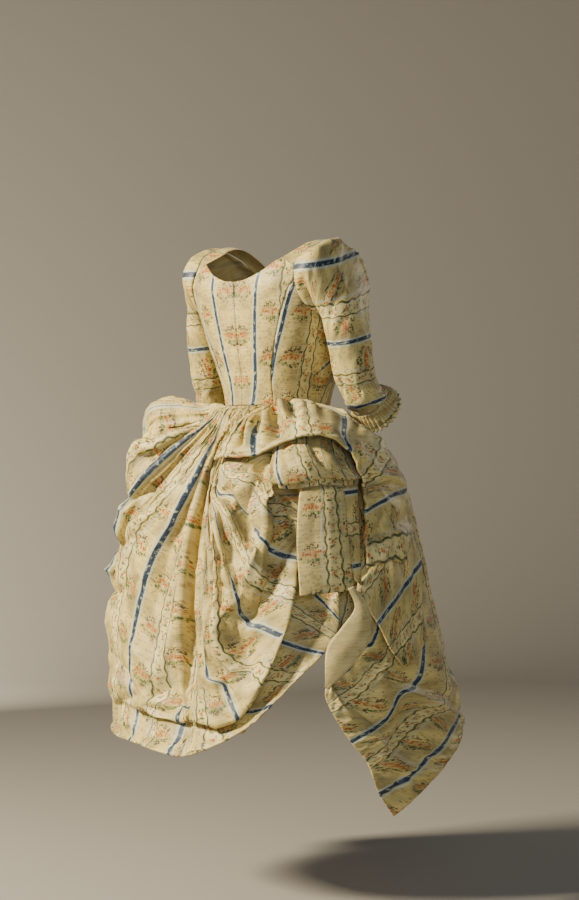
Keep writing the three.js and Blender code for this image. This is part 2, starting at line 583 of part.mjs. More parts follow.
// Two strips hang from the roll: the drawn-out end of the cloth.
const stripNet = clothNet(['top', 'high', 'low', 'end'], [
  // at, top, high, low, end
  [0, [50.5, 301, -495], [49, 314, -515], [48, 324, -600], [49, 330, -702]],
  [33, [55.5, 303, -491], [55, 318, -510], [54, 327, -600], [55, 332, -700]],
  [66, [60.5, 302, -489], [60, 318, -506], [61, 327, -598], [62, 332, -696]],
  [92, [65, 301, -490.5], [66, 315, -504], [67, 322, -596], [69, 328, -692]],
]);
const strip = makeGrid(stripNet, between(0, 92, 7), between(0, 3, 6));
addCloth('skirt_strip_long', strip, { flatFirst: true });
const innerStripNet = clothNet(['top', 'high', 'low', 'end'], [
  // at, top, high, low, end
  [0, [66.5, 299, -490.5], [66, 302, -505], [67, 308, -600], [69, 319, -672]],
  [25, [70.5, 295.5, -490], [70, 303, -505], [70.5, 308, -600], [71, 322, -680]],
  [50, [74.5, 285.5, -488.6], [74, 293, -503], [74, 300, -598], [72.5, 319, -684]],
]);
const innerStrip = makeGrid(innerStripNet, between(0, 50, 5), between(0, 3, 6));
addCloth('skirt_strip_short', innerStrip, { flatFirst: true });

// The side of the skirt, drawn up and laid over the front.
const sideNet = clothNet(['edge', 'upper', 'face', 'lower', 'hem'], [
  // at, edge, upper, face, lower, hem
  [-75, [117, 249, -470], [105, 266, -505], [92, 275, -560], [82, 299, -615], [74, 307, -655]],
  [-30, [114, 274, -515], [103, 281, -540], [91, 289, -595], [80, 306, -645], [72, 310.6, -685]],
  [0, [112, 288, -546], [101, 294, -568], [89, 302, -615], [79, 318, -662], [70.5, 328, -702]],
  [73, [106, 318, -644], [98, 328, -668], [90, 336, -694], [82, 342, -728], [76, 348, -760]],
  [146, [100, 338, -735], [96, 344, -752], [90, 350, -772], [85, 356, -792], [80, 360, -812]],
  [190, [100, 350, -800], [97, 354, -810], [93, 360, -822], [88, 366, -834], [84, 370, -845]],
]);
const skirtSide = makeGrid(sideNet, between(-75, 190, 10), between(0, 4, 8));
addCloth('skirt_side_right', skirtSide);

// A turned-back edge shows the plain reverse of the silk.
const turnNet = clothNet(['top', 'high', 'mid', 'low', 'tip'], [
  // at, top, high, mid, low, tip
  [0, [65, 343, -690], [67, 348, -728], [62, 352, -766], [57, 356, -806], [56.5, 355.8, -878]],
  [22, [66, 345, -688], [69, 352, -722], [68, 360, -768], [61, 366, -818], [57, 356.3, -880]],
  [44, [67, 343, -686], [71, 350, -720], [73, 358, -770], [66, 368, -830], [57.5, 356.8, -882]],
]);
const turned = makeGrid(turnNet, between(0, 44, 4), between(0, 4, 8));
addCloth('skirt_turned_edge', turned, {}, silkReverse);

export default gown;
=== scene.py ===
# %% [markdown]
# # A robe a la polonaise
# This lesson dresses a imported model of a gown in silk.  The real gown is sewn from
# lengths of striped and flowered silk taffeta.  Its skirt is drawn up through the
# pocket slits, so the back falls in puffs and the right front corner swings round
# behind.  Every piece of cloth here is one sheet, made a little finer than its solid in
# the frame, with its pleats and creases, and then given its thickness.

# %% Load the frame
import bpy
import numpy as np
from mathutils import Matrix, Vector


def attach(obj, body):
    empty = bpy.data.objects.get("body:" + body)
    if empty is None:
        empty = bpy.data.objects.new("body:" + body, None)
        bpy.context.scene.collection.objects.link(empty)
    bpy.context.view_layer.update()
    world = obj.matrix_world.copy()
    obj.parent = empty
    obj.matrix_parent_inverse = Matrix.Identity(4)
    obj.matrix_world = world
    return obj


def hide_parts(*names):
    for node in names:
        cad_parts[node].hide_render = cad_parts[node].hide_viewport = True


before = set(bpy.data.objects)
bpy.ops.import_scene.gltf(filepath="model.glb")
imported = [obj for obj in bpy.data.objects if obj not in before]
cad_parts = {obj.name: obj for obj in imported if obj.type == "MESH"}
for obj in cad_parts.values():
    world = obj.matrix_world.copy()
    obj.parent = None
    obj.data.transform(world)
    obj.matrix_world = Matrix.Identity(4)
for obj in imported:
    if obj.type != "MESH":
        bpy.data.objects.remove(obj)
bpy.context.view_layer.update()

# %% [markdown]
# ## Sizes
# Lengths are in millimetres until a sheet becomes a mesh.  The body of the wearer is
# never modelled; the waist seam and the armhole place everything.

# %% Sizes that drive the gown
MM = 0.001
STEP = 4.0      # distance between the points of a sheet
WALL = 1.0                             # silk with its turnings
WAIST_Z = -328.0
SEAM = 0.9                             # the skirt starts this far under the bodice
NECK_BACK_Z = -75.0
NECK_FRONT_Z = -150.0
SHOULDER_Z = 6.0
ARMHOLE_MID_Y, ARMHOLE_MID_Z = 15.0, -72.0
ARMHOLE_BACK, ARMHOLE_FRONT, ARMHOLE_HALF_HEIGHT = 100.0, 88.0, 77.0
STRIPE_REPEAT = 146.0                  # from one blue stripe to the next
BOTH_SIDES = (("right", False), ("left", True))        # the left is the right mirrored
print("sheets have a point every", STEP, "mm")

# %% [markdown]
# ## Curves through a few places
# A maker drapes cloth over a few fixed places.  Here a smooth curve runs through those
# places, so a short table gives a whole sheet.  A place is written as an angle from the
# centre back towards the wearer's right, a distance from the body's axis, and a height.

# %% Curve helpers
def catmull(points, t):
    """Smooth curve through points (first axis) at the places t, which count points."""
    points = np.asarray(points, float)
    t = np.asarray(t, float)
    i = np.clip(np.floor(t).astype(int), 0, len(points) - 2)
    f = t - i
    f = f.reshape(f.shape + (1,) * (points.ndim - 1))
    before = 2 * points[:1] - points[1:2]
    after = 2 * points[-1:] - points[-2:-1]
    p = np.concatenate([before, points, after])
    w0 = 0.5 * (-f + 2 * f**2 - f**3)
    w1 = 0.5 * (2 - 5 * f**2 + 3 * f**3)
    w2 = 0.5 * (f + 4 * f**2 - 3 * f**3)
    w3 = 0.5 * (-(f**2) + f**3)
    return w0 * p[i] + w1 * p[i + 1] + w2 * p[i + 2] + w3 * p[i + 3]


def index_at(values, x):
    """Where x lies among rising values, counted in values."""
    return np.interp(x, values, np.arange(len(values)))


def place(cyl):
    """From (angle, radius, height) to (x, y, z)."""
    a = np.radians(cyl[..., 0])
    return np.stack([-cyl[..., 1] * np.sin(a), cyl[..., 1] * np.cos(a), cyl[..., 2]], -1)


def cloth_net(rows):
    """rows: how far across the cloth a ray lies, then the places it passes."""
    return {"at": np.array([row[0] for row in rows], float),
            "rays": np.array([row[1:] for row in rows], float)}


def net_sheet(net, ats, downs):
    """Points of the net at the places ats across it and downs down it."""
    across = catmull(net["rays"], index_at(net["at"], ats))
    return place(catmull(across.swapaxes(0, 1), downs).swapaxes(0, 1))


def row_lengths(sheet):
    """Distance down each column of the sheet, from its first row."""
    steps = np.linalg.norm(np.diff(sheet, axis=1), axis=2)
    return np.concatenate([np.zeros((len(sheet), 1)), np.cumsum(steps, axis=1)], axis=1)


def filled(net):
    """The net filled with points about one step apart, with their places and lengths."""
    fine = np.linspace(0, net["rays"].shape[1] - 1, 600)
    length = row_lengths(net_sheet(net, net["at"], fine)).mean(0)
    count = int(np.ceil(length[-1] / STEP))
    downs = np.interp(np.linspace(0, length[-1], count + 1), length, fine)
    count = int(np.ceil((net["at"][-1] - net["at"][0]) / STEP))
    ats = np.linspace(net["at"][0], net["at"][-1], count + 1)
    sheet = net_sheet(net, ats, downs)
    return ats, downs, sheet, row_lengths(sheet)


def sheet_normals(sheet):
    """Unit normals of the sheet, all on the side that faces away from the body."""
    du = np.gradient(sheet, axis=0)
    dv = np.gradient(sheet, axis=1)
    n = np.cross(du, dv)
    n /= np.maximum(np.linalg.norm(n, axis=2, keepdims=True), 1e-9)
    facing = (n[..., 0] * sheet[..., 0] + n[..., 1] * sheet[..., 1]).sum()
    return n if facing > 0 else -n

# %% [markdown]
# ## Gathers
# When a width of cloth is pushed into less room it buckles into rounded pleats.  The
# side view of such a pleat is a meander: its slope swings evenly from one side to the
# other.  The bigger the swing, the less width is left, so the swing can be looked up
# from the width that is left, and the cloth keeps its real width.

# %% Meander table
SWINGS = np.linspace(0, 2.0, 81)
AROUND = np.linspace(0, 1, 101)
_slope = SWINGS[:, None] * np.sin(2 * np.pi * AROUND[None, :])
_run = np.cumsum(np.cos(_slope), axis=1) / len(AROUND)
_rise = np.cumsum(np.sin(_slope), axis=1) / len(AROUND)
WIDTH_LEFT = _run[:, -1]
RUN = (_run - _run[:, :1]) / (_run[:, -1:] - _run[:, :1])
_rise = np.maximum(_rise - _rise[:, :1], 0)
_top = np.maximum(_rise.max(axis=1, keepdims=True), 1e-6)
RISE = _top * (_rise / _top) ** 0.7    # round ridges and narrow valleys


def from_table(table, swing, around):
    """Looks up a pleat's table between its rows and columns."""
    a = np.clip(swing / SWINGS[-1] * (len(SWINGS) - 1), 0, len(SWINGS) - 1.001)
    s = np.clip(around * (len(AROUND) - 1), 0, len(AROUND) - 1.001)
    i, j = a.astype(int), s.astype(int)
    fa, fs = a - i, s - j
    return ((1 - fa) * ((1 - fs) * table[i, j] + fs * table[i, j + 1])
            + fa * ((1 - fs) * table[i + 1, j] + fs * table[i + 1, j + 1]))


def soft_noise(x, y, seed):
    """Smooth random heights between -1 and 1, one bump for each whole step of x or y."""
    lattice = np.random.RandomState(seed).uniform(-1, 1, (128, 128))
    i, j = np.floor(x).astype(int), np.floor(y).astype(int)
    fx, fy = x - i, y - j
    fx, fy = fx * fx * (3 - 2 * fx), fy * fy * (3 - 2 * fy)
    i0, i1, j0, j1 = i % 128, (i + 1) % 128, j % 128, (j + 1) % 128
    return ((1 - fx) * ((1 - fy) * lattice[i0, j0] + fy * lattice[i0, j1])
            + fx * ((1 - fy) * lattice[i1, j0] + fy * lattice[i1, j1]))


def ramp(x, low, high):
    """0 up to low, 1 from high, and a smooth rise between them."""
    t = np.clip((x - low) / (high - low), 0, 1)
    return t * t * (3 - 2 * t)


def sample_rows(sheet, ats, wanted):
    """The sheet's points at other places across, row by row."""
    t = np.clip(np.interp(wanted, ats, np.arange(len(ats))), 0, len(ats) - 1.001)
    i = t.astype(int)
    f = (t - i)[..., None]
    j = np.arange(sheet.shape[1])[None, :]
    return sheet[i, j] * (1 - f) + sheet[i + 1, j] * f


def gathered(sheet, ats, lengths, valleys, strength, least=0.0, most=1.75, wander=0.0, seed=1):
    """Pushes the sheet into pleats between the valleys, as deep as its lost width asks."""
    valleys = np.asarray(valleys, float)
    # the pleats wander a little, but never at the edges, where the seams are
    from_edge = np.minimum(ats - ats[0], ats[-1] - ats)[:, None]
    at = ats[:, None] + wander * ramp(from_edge, 0, 4 * wander + 1) * soft_noise(
        ats[:, None] / 90, lengths / 110, seed)
    k = np.clip(np.searchsorted(valleys, at, side="right") - 1, 0, len(valleys) - 2)
    width = valleys[k + 1] - valleys[k]
    s = np.clip((at - valleys[k]) / width, 0, 1)
    at_valleys = sample_rows(sheet, ats, np.repeat(valleys[:, None], sheet.shape[1], 1))
    room = np.linalg.norm(np.diff(at_valleys, axis=0), axis=2)
    left = np.clip(room / np.diff(valleys)[:, None], 0.02, 1)
    swings = np.maximum(least, np.interp(left, WIDTH_LEFT[::-1], SWINGS[::-1]))
    strength = np.broadcast_to(strength, sheet.shape[:2])
    columns = np.arange(sheet.shape[1])[None, :]
    swing = np.clip(swings[k, columns] * strength, 0, most)
    # the pleats are lowered by their mean height, so the cloth stays on its net
    mids = (valleys[1:] + valleys[:-1]) / 2
    nearest = np.clip(np.searchsorted(ats, mids), 0, len(ats) - 1)
    mean = np.interp(np.clip(swings * strength[nearest], 0, most), SWINGS, RISE.mean(axis=1))
    t = np.clip(np.interp(ats, mids, np.arange(len(mids))), 0, len(mids) - 1.001)
    i, f = t.astype(int), (t - t.astype(int))[:, None]
    mean = mean * np.diff(valleys)[:, None]
    rise = width * from_table(RISE, swing, s) - ((1 - f) * mean[i] + f * mean[i + 1])
    moved = valleys[k] + width * from_table(RUN, swing, s) - (at - ats[:, None])
    out = sample_rows(sheet, ats, moved)
    normals = sample_rows(sheet_normals(sheet), ats, moved)
    return out + normals * rise[..., None]

# %% [markdown]
# ## Creases
# Taffeta keeps creases.  Each main crease is listed one by one: a row says where on the
# cloth it starts and ends, how wide its two sides are, and how far it stands up (or
# sinks, if negative).  Small crumples between them come from ridged noise.

# %% Creases listed one by one, and small crumples
def creases(rows, across, down):
    """rows: across, down, across, down, width on one side, width on the other, height."""
    total = np.zeros(np.broadcast(across, down).shape)
    for u0, v0, u1, v1, wide_a, wide_b, height in rows:
        length = np.hypot(u1 - u0, v1 - v0)
        tu, tv = (u1 - u0) / length, (v1 - v0) / length
        along = ((across - u0) * tu + (down - v0) * tv) / length
        off = (across - u0) * tv - (down - v0) * tu
        past = np.maximum(0, np.maximum(-along, along - 1)) * length
        wide = np.where(off > 0, wide_a, wide_b)
        fade = np.exp(-((past / (0.8 * (wide_a + wide_b))) ** 2))
        taper = np.clip(np.minimum(along + 0.15, 1.15 - along) / 0.4, 0, 1)
        total += height * np.exp(-(np.abs(off / wide) ** 1.35)) * fade * np.sqrt(taper)
    return total


def crumple(across, down, size, seed, stretch=1.6, turn=0.4):
    """Crisp small creases from 0 to 1, longer along the way given by turn (radians)."""
    x = (across * np.cos(turn) + down * np.sin(turn)) / size
    y = (down * np.cos(turn) - across * np.sin(turn)) / (size * stretch)
    first = 1 - np.abs(soft_noise(x, y, seed)) * 2
    second = 1 - np.abs(soft_noise(x * 2.1 + 7, y * 2.1, seed + 1)) * 2
    return 0.7 * first + 0.3 * second


def raise_by(sheet, height):
    """Moves each point of the sheet outward by its height."""
    return sheet + sheet_normals(sheet) * height[..., None]

# %% [markdown]
# ## From a sheet of points to cloth
# A sheet is a grid of points.  It becomes a mesh of four-sided faces with a UV map that
# holds the cloth's own coordinates in metres: across the stripes and along them.  The
# Solidify modifier then gives it its thickness, with the reverse of the silk inside.

# %% A turned edge
def evened(values, times=6):
    """Evens out values along a row, so an edge turns under without a jagged line."""
    for _ in range(times):
        padded = np.concatenate([values[:1], values, values[-1:]])
        values = (padded[:-2] + 2 * padded[1:-1] + padded[2:]) / 4
    return values


def with_lip(sheet, along, radius=1.5, back=9.0):
    """Turns the last row of the sheet under, as a hem or a fold does."""
    n = evened(sheet_normals(sheet)[:, -1])
    t = evened(sheet[:, -1] - sheet[:, -3])
    t /= np.linalg.norm(t, axis=1, keepdims=True)
    n -= t * (n * t).sum(1, keepdims=True)
    n /= np.linalg.norm(n, axis=1, keepdims=True)
    hub, new_rows, new_along = sheet[:, -1] - radius * n, [], []
    for turn in np.radians([36, 72, 108, 144, 180]):
        new_rows.append(hub + radius * (n * np.cos(turn) + t * np.sin(turn)))
        new_along.append(along[:, -1] + radius * turn)
    for far in (back / 3, 2 * back / 3, back):
        new_rows.append(hub - radius * n - t * far)
        new_along.append(along[:, -1] + radius * np.pi + far)
    return (np.concatenate([sheet, np.stack(new_rows, 1)], 1),
            np.concatenate([along, np.stack(new_along, 1)], 1))

# %% Sheet to mesh
def new_mesh(name, points, faces):
    mesh = bpy.data.meshes.new(name)
    mesh.from_pydata(points, [], faces)
    return mesh


def new_object(name, data):
    """Puts a mesh, lamp or camera into the scene."""
    made = bpy.data.objects.new(name, data)
    bpy.context.scene.collection.objects.link(made)
    return made


def grid_corners(n, m, closed):
    """Row and column of the first corner of each face of an n by m grid, and its quads."""
    i, j = (k.ravel() for k in np.meshgrid(np.arange(n if closed else n - 1), np.arange(m - 1),
                                           indexing="ij"))
    wrap = (i + 1) % n
    return i, j, wrap, np.stack([i * m + j, wrap * m + j, wrap * m + j + 1, i * m + j + 1], 1)


def cloth_piece(node, sheet, across, along, flat, area=None,
                closed=False, face="silk", mirror=False):
    """Makes the cloth that stands for a node, hides that node's solid, and prints how much cloth
    was cut.
    """
    points = sheet * (MM * np.array([-1, 1, 1]) if mirror else MM)
    n, m = points.shape[:2]
    uv = np.stack(np.broadcast_arrays(across, along), -1) * MM
    i, j, wrap, quads = grid_corners(n, m, closed)
    quad_uv = np.stack([uv[i, j], uv[i + 1, j], uv[i + 1, j + 1], uv[i, j + 1]], 1)
    a, b, d = points[i, j], points[wrap, j], points[i, j + 1]
    hub = points.mean(0)[j] if closed else np.zeros(3)
    if (np.cross(b - a, d - a)[:, :2] * (a - hub)[:, :2]).sum() < 0:
        quads, quad_uv = quads[:, ::-1], quad_uv[:, ::-1]
    name = node + "_cloth"
    mesh = new_mesh(name, points.reshape(-1, 3).tolist(), quads.tolist())
    layer = mesh.uv_layers.new(name="cloth")
    layer.uv.foreach_set("vector", quad_uv.ravel().astype(np.float32))
    for finish in (face, "silk_reverse" if face == "silk" else "silk"):
        mesh.materials.append(finishes[finish])
    mesh.shade_smooth()
    piece = new_object(name, mesh)
    bpy.ops.object.select_all(action="DESELECT")
    bpy.context.view_layer.objects.active = piece
    piece.select_set(True)
    wall = piece.modifiers.new("wall", "SOLIDIFY")
    wall.thickness = WALL * MM
    wall.offset = 0
    wall.material_offset = 1
    bpy.ops.object.modifier_apply(modifier=wall.name)
    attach(piece, "root")
    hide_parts(node)
    made = sum(p.area for p in piece.data.polygons) / 2
    cut = flat[0] * flat[1] if area is None else area
    print(f"{name}: {2 * len(piece.data.polygons)} triangles,",
          f"{made:.4f} m2 shown, {cut:.4f} m2 cut")
    return piece

# %% [markdown]
# ## Letting the cloth settle
# A shape made only by formulas looks too even.  Blender's cloth simulation lets each
# sheet buckle as stiff silk does: the sheet is held at its seams, grows by a few
# hundredths, and finds its own small folds under its weight.  Every point is softly
# held near its place.  What it moves is then eased, so that none moves more than about
# a centimetre and the sheet stays on its solid.

# %% Cloth simulation on a grid of points
SETTLE_FRAMES, SETTLE_EVERY = 18, 2    # frames run; every second point of a sheet moves
HELD_POINTS = 3                        # the hold of a seam fades over so many points
TAFFETA = {"quality": 5, "mass": 0.15, "pin_stiffness": 1.0, "tension_stiffness": 25,
           "compression_stiffness": 25, "shear_stiffness": 12, "bending_stiffness": 2.0,
           "air_damping": 3}


def settled(sheet, held, grow=0.05, most=9.0, soft=0.12, closed=False):
    """The sheet after it has buckled; held is 1 where a seam holds it, 0 where it is free."""
    pick = [np.unique(np.append(np.arange(0, size, SETTLE_EVERY), size - 1))
            for size in sheet.shape[:2]]
    if closed:
        pick[0] = np.arange(0, sheet.shape[0], SETTLE_EVERY)
    coarse = sheet[np.ix_(*pick)] * MM
    n, m = coarse.shape[:2]
    mesh = new_mesh("settling", coarse.reshape(-1, 3).tolist(),
                    grid_corners(n, m, closed)[3].tolist())
    piece = new_object("settling", mesh)
    group = piece.vertex_groups.new(name="held")
    weights = np.round(soft + (1 - soft) * held[np.ix_(*pick)].ravel(), 2)
    for level in np.unique(weights):
        group.add(np.flatnonzero(weights == level).tolist(), float(level), "REPLACE")
    cloth = piece.modifiers.new("cloth", "CLOTH")
    for name, value in TAFFETA.items():
        setattr(cloth.settings, name, value)
    cloth.settings.vertex_group_mass = "held"
    cloth.settings.shrink_min = -grow
    cloth.collision_settings.use_collision = False
    cloth.point_cache.frame_start, cloth.point_cache.frame_end = 1, SETTLE_FRAMES
    for frame_number in range(1, SETTLE_FRAMES + 1):
        bpy.context.scene.frame_set(frame_number)
    shape = piece.evaluated_get(bpy.context.evaluated_depsgraph_get()).data
    after = np.zeros(n * m * 3)
    shape.vertices.foreach_get("co", after)
    move = (after.reshape(n, m, 3) - coarse) / MM
    bpy.data.objects.remove(piece)
    bpy.data.meshes.remove(mesh)
    bpy.context.scene.frame_set(1)
    size = np.linalg.norm(move, axis=2, keepdims=True)
    move *= np.tanh(size / most) * most / np.maximum(size, 1e-6)
    if closed:
        move = np.concatenate([move, move[:1]])
        pick[0] = np.append(pick[0], sheet.shape[0])
    down = catmull(move.swapaxes(0, 1), index_at(pick[1], np.arange(sheet.shape[1])))
    whole = catmull(down.swapaxes(0, 1), index_at(pick[0], np.arange(sheet.shape[0])))
    moved = np.linalg.norm(whole, axis=2)
    print(f"settled {n} by {m} points, moved {moved.mean():.1f} mm, at most {moved.max():.1f}")
    return sheet + whole


def held_edges(sheet, sides=True):
    """1 on the sheet's ends, and on its sides too if they are held, falling to 0 inside."""
    i = np.arange(sheet.shape[0])[:, None].astype(float)
    j = np.arange(sheet.shape[1])[None, :].astype(float)
    far = np.minimum(np.full(sheet.shape[:2], 1e3), np.minimum(j, sheet.shape[1] - 1 - j))
    if sides:
        far = np.minimum(far, np.minimum(i, sheet.shape[0] - 1 - i))
    return 1 - ramp(far, 0, HELD_POINTS)

# %% [markdown]
# ## The silk
# The gown is silk taffeta: a plain weave of fine stiff threads, so it is crisp, folds
# sharply and has a soft shine.  Its stripes and bouquets were coloured on the warp
# before weaving, so their edges are feathered along the threads.  One blue stripe and
# one pair of wavy green stripes make the repeat, with bouquets between them.

# %% Colour and node helpers
def srgb(code):
    """Linear colour from an sRGB hex value."""
    parts = [int(code[k:k + 2], 16) / 255 for k in (1, 3, 5)]
    return [c / 12.92 if c <= 0.04045 else ((c + 0.055) / 1.055) ** 2.4 for c in parts] + [1.0]


def add_node(tree, kind, inputs=(), output=0, **settings):
    """Adds a node with its settings; inputs are values or other nodes' outputs."""
    node = tree.nodes.new(kind)
    for name, value in settings.items():
        setattr(node, name, value)
    for socket, value in inputs.items() if isinstance(inputs, dict) else enumerate(inputs):
        if isinstance(value, bpy.types.NodeSocket):
            tree.links.new(value, node.inputs[socket])
        elif value is not None:
            node.inputs[socket].default_value = value
    return None if output is None else node.outputs[output]


def empty_material(name):
    material = bpy.data.materials.new(name)
    material.use_nodes = True
    material.node_tree.nodes.clear()
    return material


MATH, RANGE, MIX, NOISE = ("ShaderNodeMath", "ShaderNodeMapRange", "ShaderNodeMix",
                           "ShaderNodeTexNoise")
MAPPING, VECTOR = "ShaderNodeMapping", "ShaderNodeVectorMath"
# the darkest and the lightest tone of each coloured thread
THREADS = {"blue": ("#1a232d", "#33424f"), "coral": ("#7e3d10", "#ac6424"),
           "speck": ("#a8703a", "#66703f")}
print("lightest blue thread, linear:", [round(c, 3) for c in srgb(THREADS["blue"][1])])

# %% [markdown]
# A motif is a set of small ovals, each broken up by noise, because a figure woven from
# coloured threads has ragged ends.  The stripes are bands of the distance from the
# middle of the stripe, in millimetres.  Real taffeta has 30 or more threads to the
# centimetre, too fine to see from here, so the ribs and slubs are drawn about 2 mm wide.

# %% The repeat of the pattern, in mm
DOT = 4.6                              # a knot of colour in the figures
BLUE_HALF, BLUE_EDGE = 3.8, 7.4        # half width of the blue stripe, and of its pale edges
GREEN_HALF = 1.6                       # half width of a green stripe
PAIR_HALF = 10.0                       # half width of the paler ground between the pair
PALE_LINE = 19.0                       # a thin line, from the middle of the pair
GREEN_WAVE, GREEN_SWAY = 27.0, 1.4     # length and half width of the green stripes' waves
GREEN_FROM_MIDDLE = 12.0               # from the middle of the pair to each stripe
BOUQUET_FROM_BLUE, BOUQUET_REPEAT, SPRIG_REPEAT = 36.0, 92.0, 30.0
# ovals of a bouquet: across and along from its middle, half width and half height
BOUQUET_PETALS = [(-13, 1, 7, 6), (-3, -1, 9, 7), (8, 1, 9, 7), (18, -1, 6, 5)]
BOUQUET_LEAVES = [(-11, 13, 8, 5), (2, 16, 10, 6), (13, 13, 8, 5), (-20, 8, 5, 4), (22, 7, 5, 4)]
BOUQUET_DARK = [(-5, -14, 8, 5), (7, -15, 10, 6), (17, -9, 5, 4), (4, 20, 10, 4), (-14, -9, 4, 4)]
SPRIG_PETALS = [(0, 0, 4.5, 4.5)]
SPRIG_LEAVES = [(0, 8, 5, 3), (5, -6, 3, 3)]
print("the repeat is", STRIPE_REPEAT, "mm wide and", BOUQUET_REPEAT, "mm long")

# %% Drawing on the cloth
def band(tree, distance, half_width, feather):
    """1 within half_width of the line where distance is 0."""
    size = add_node(tree, MATH, (distance,), operation="ABSOLUTE")
    return add_node(tree, RANGE, (size, half_width - feather, half_width + feather, 1.0, 0.0),
                    interpolation_type="SMOOTHSTEP")


def ovals(tree, where, ragged, rows):
    """1 inside any of the ovals (x, y, half width, half height), with ragged edges."""
    whole = None
    for x, y, half_x, half_y in rows:
        local = add_node(tree, MAPPING, (where, (x, y, 0), (0, 0, 0), (half_x, half_y, 1)),
                         vector_type="TEXTURE")
        far = add_node(tree, VECTOR, (local,), output=1, operation="LENGTH")
        far = add_node(tree, MATH, (far, ragged), operation="ADD")
        mask = add_node(tree, RANGE, (far, 0.85, 1.05, 1.0, 0.0))
        whole = mask if whole is None else add_node(tree, MATH, (whole, mask), operation="MAXIMUM")
    return whole

# %% Places on the cloth, and knots of colour
def streaks(tree, where, across, along, output=0, **kind):
    """Noise in streaks that follow the threads, with so many to the mm each way."""
    where = add_node(tree, MAPPING, (where, (0, 0, 0), (0, 0, 0), (across, along, 1)))
    return add_node(tree, NOISE, {"Vector": where, "Scale": 1.0, **kind}, output=output)


def silk_places(tree):
    """Places on the cloth in mm: from the blue stripe, from the green pair, and along."""
    cloth = add_node(tree, "ShaderNodeUVMap", uv_map="cloth")
    mm = add_node(tree, VECTOR, {0: cloth, 3: 1000.0}, operation="SCALE")
    # threads of the warp slip a few millimetres, which feathers every figure
    slip = streaks(tree, mm, 0.5, 0.06, output=1, Detail=2.0)
    slip = add_node(tree, MAPPING, (slip, (-0.75, -3.0, 0), (0, 0, 0), (1.5, 6.0, 0)))
    slipped = add_node(tree, VECTOR, (mm, slip), operation="ADD")
    u = add_node(tree, "ShaderNodeSeparateXYZ", (slipped,), output=0)
    v = add_node(tree, "ShaderNodeSeparateXYZ", (slipped,), output=1)
    half = STRIPE_REPEAT / 2
    w = add_node(tree, MATH, (u, half, -half), operation="WRAP")
    from_blue = add_node(tree, MATH, (w,), operation="ABSOLUTE")
    from_pair = add_node(tree, MATH, (half, from_blue), operation="SUBTRACT")
    past_pair = add_node(tree, MATH, (u, half), operation="SUBTRACT")
    past_pair = add_node(tree, MATH, (past_pair, half, -half), operation="WRAP")
    return mm, slipped, v, w, from_blue, from_pair, past_pair


def silk_knots(tree, slipped):
    """Knots of colour: most of them, packed with colour between them, and a few."""
    cell = {"Vector": slipped, "Scale": 1 / DOT, "Randomness": 0.85}
    size, luck = (add_node(tree, "ShaderNodeTexVoronoi", cell, k, voronoi_dimensions="2D")
                  for k in (0, 1))
    luck = add_node(tree, "ShaderNodeSeparateColor", (luck,))
    dot = add_node(tree, RANGE, (size, 0.42, 0.56, 1.0, 0.0))
    most, few = (add_node(tree, MATH, (dot, add_node(tree, RANGE, (luck, low, high, 0.0, 1.0))),
                          operation="MULTIPLY") for low, high in ((0.25, 0.35), (0.83, 0.85)))
    packed = add_node(tree, MATH, (most, 0.7, 0.3), operation="MULTIPLY_ADD")
    return most, packed, few

# %% Stripes and figures
def silk_stripes(tree, mm, fine, v, w, past_pair):
    """The blue stripe, pale at its edges and broken along its length, and wavy greens."""
    broken = streaks(tree, mm, 0.16, 0.09, Detail=3.0)
    broken = add_node(tree, RANGE, (broken, 0.33, 0.45, 0.25, 1.0))
    blue = add_node(tree, MATH, (fine, 2.4, w), operation="MULTIPLY_ADD")
    blue = add_node(tree, MATH, (blue, 1.2), operation="SUBTRACT")
    blue = add_node(tree, MATH, (band(tree, blue, BLUE_HALF, 0.9), broken), operation="MULTIPLY")
    wave = add_node(tree, MATH, (v, 2 * np.pi / GREEN_WAVE), operation="MULTIPLY")
    wave = add_node(tree, MATH, (wave,), operation="SINE")
    green = add_node(tree, MATH, (wave, GREEN_SWAY, past_pair), operation="MULTIPLY_ADD")
    green = add_node(tree, MATH, (green,), operation="ABSOLUTE")
    green = add_node(tree, MATH, (green, GREEN_FROM_MIDDLE), operation="SUBTRACT")
    green = add_node(tree, MATH, (band(tree, green, GREEN_HALF, 0.6), broken),
                     operation="MULTIPLY")
    return blue, green


def silk_figures(tree, ragged, most_dots, packed, v, w, from_blue, from_pair):
    """Small sprigs between the green stripes, and bouquets half-way to the blue."""
    half = BOUQUET_REPEAT / 2
    sprig = add_node(tree, MATH, (v, SPRIG_REPEAT / 2, -SPRIG_REPEAT / 2), operation="WRAP")
    sprig = add_node(tree, "ShaderNodeCombineXYZ", (from_pair, sprig))
    side = add_node(tree, MATH, (w, 0.0), operation="GREATER_THAN")
    bouquet_y = add_node(tree, MATH, (side, half, v), operation="MULTIPLY_ADD")
    bouquet_y = add_node(tree, MATH, (bouquet_y, half, -half), operation="WRAP")
    bouquet_x = add_node(tree, MATH, (from_blue, BOUQUET_FROM_BLUE), operation="SUBTRACT")
    bouquet = add_node(tree, "ShaderNodeCombineXYZ", (bouquet_x, bouquet_y))
    leaves, coral = (
        add_node(tree, MATH, (add_node(tree, MATH, (
            ovals(tree, bouquet, ragged, big), ovals(tree, sprig, ragged, small)),
            operation="MAXIMUM"), packed), operation="MULTIPLY")
        for big, small in ((BOUQUET_LEAVES, SPRIG_LEAVES), (BOUQUET_PETALS, SPRIG_PETALS)))
    dark = add_node(tree, MATH, (ovals(tree, bouquet, ragged, BOUQUET_DARK), most_dots),
                    operation="MULTIPLY")
    return leaves, coral, dark

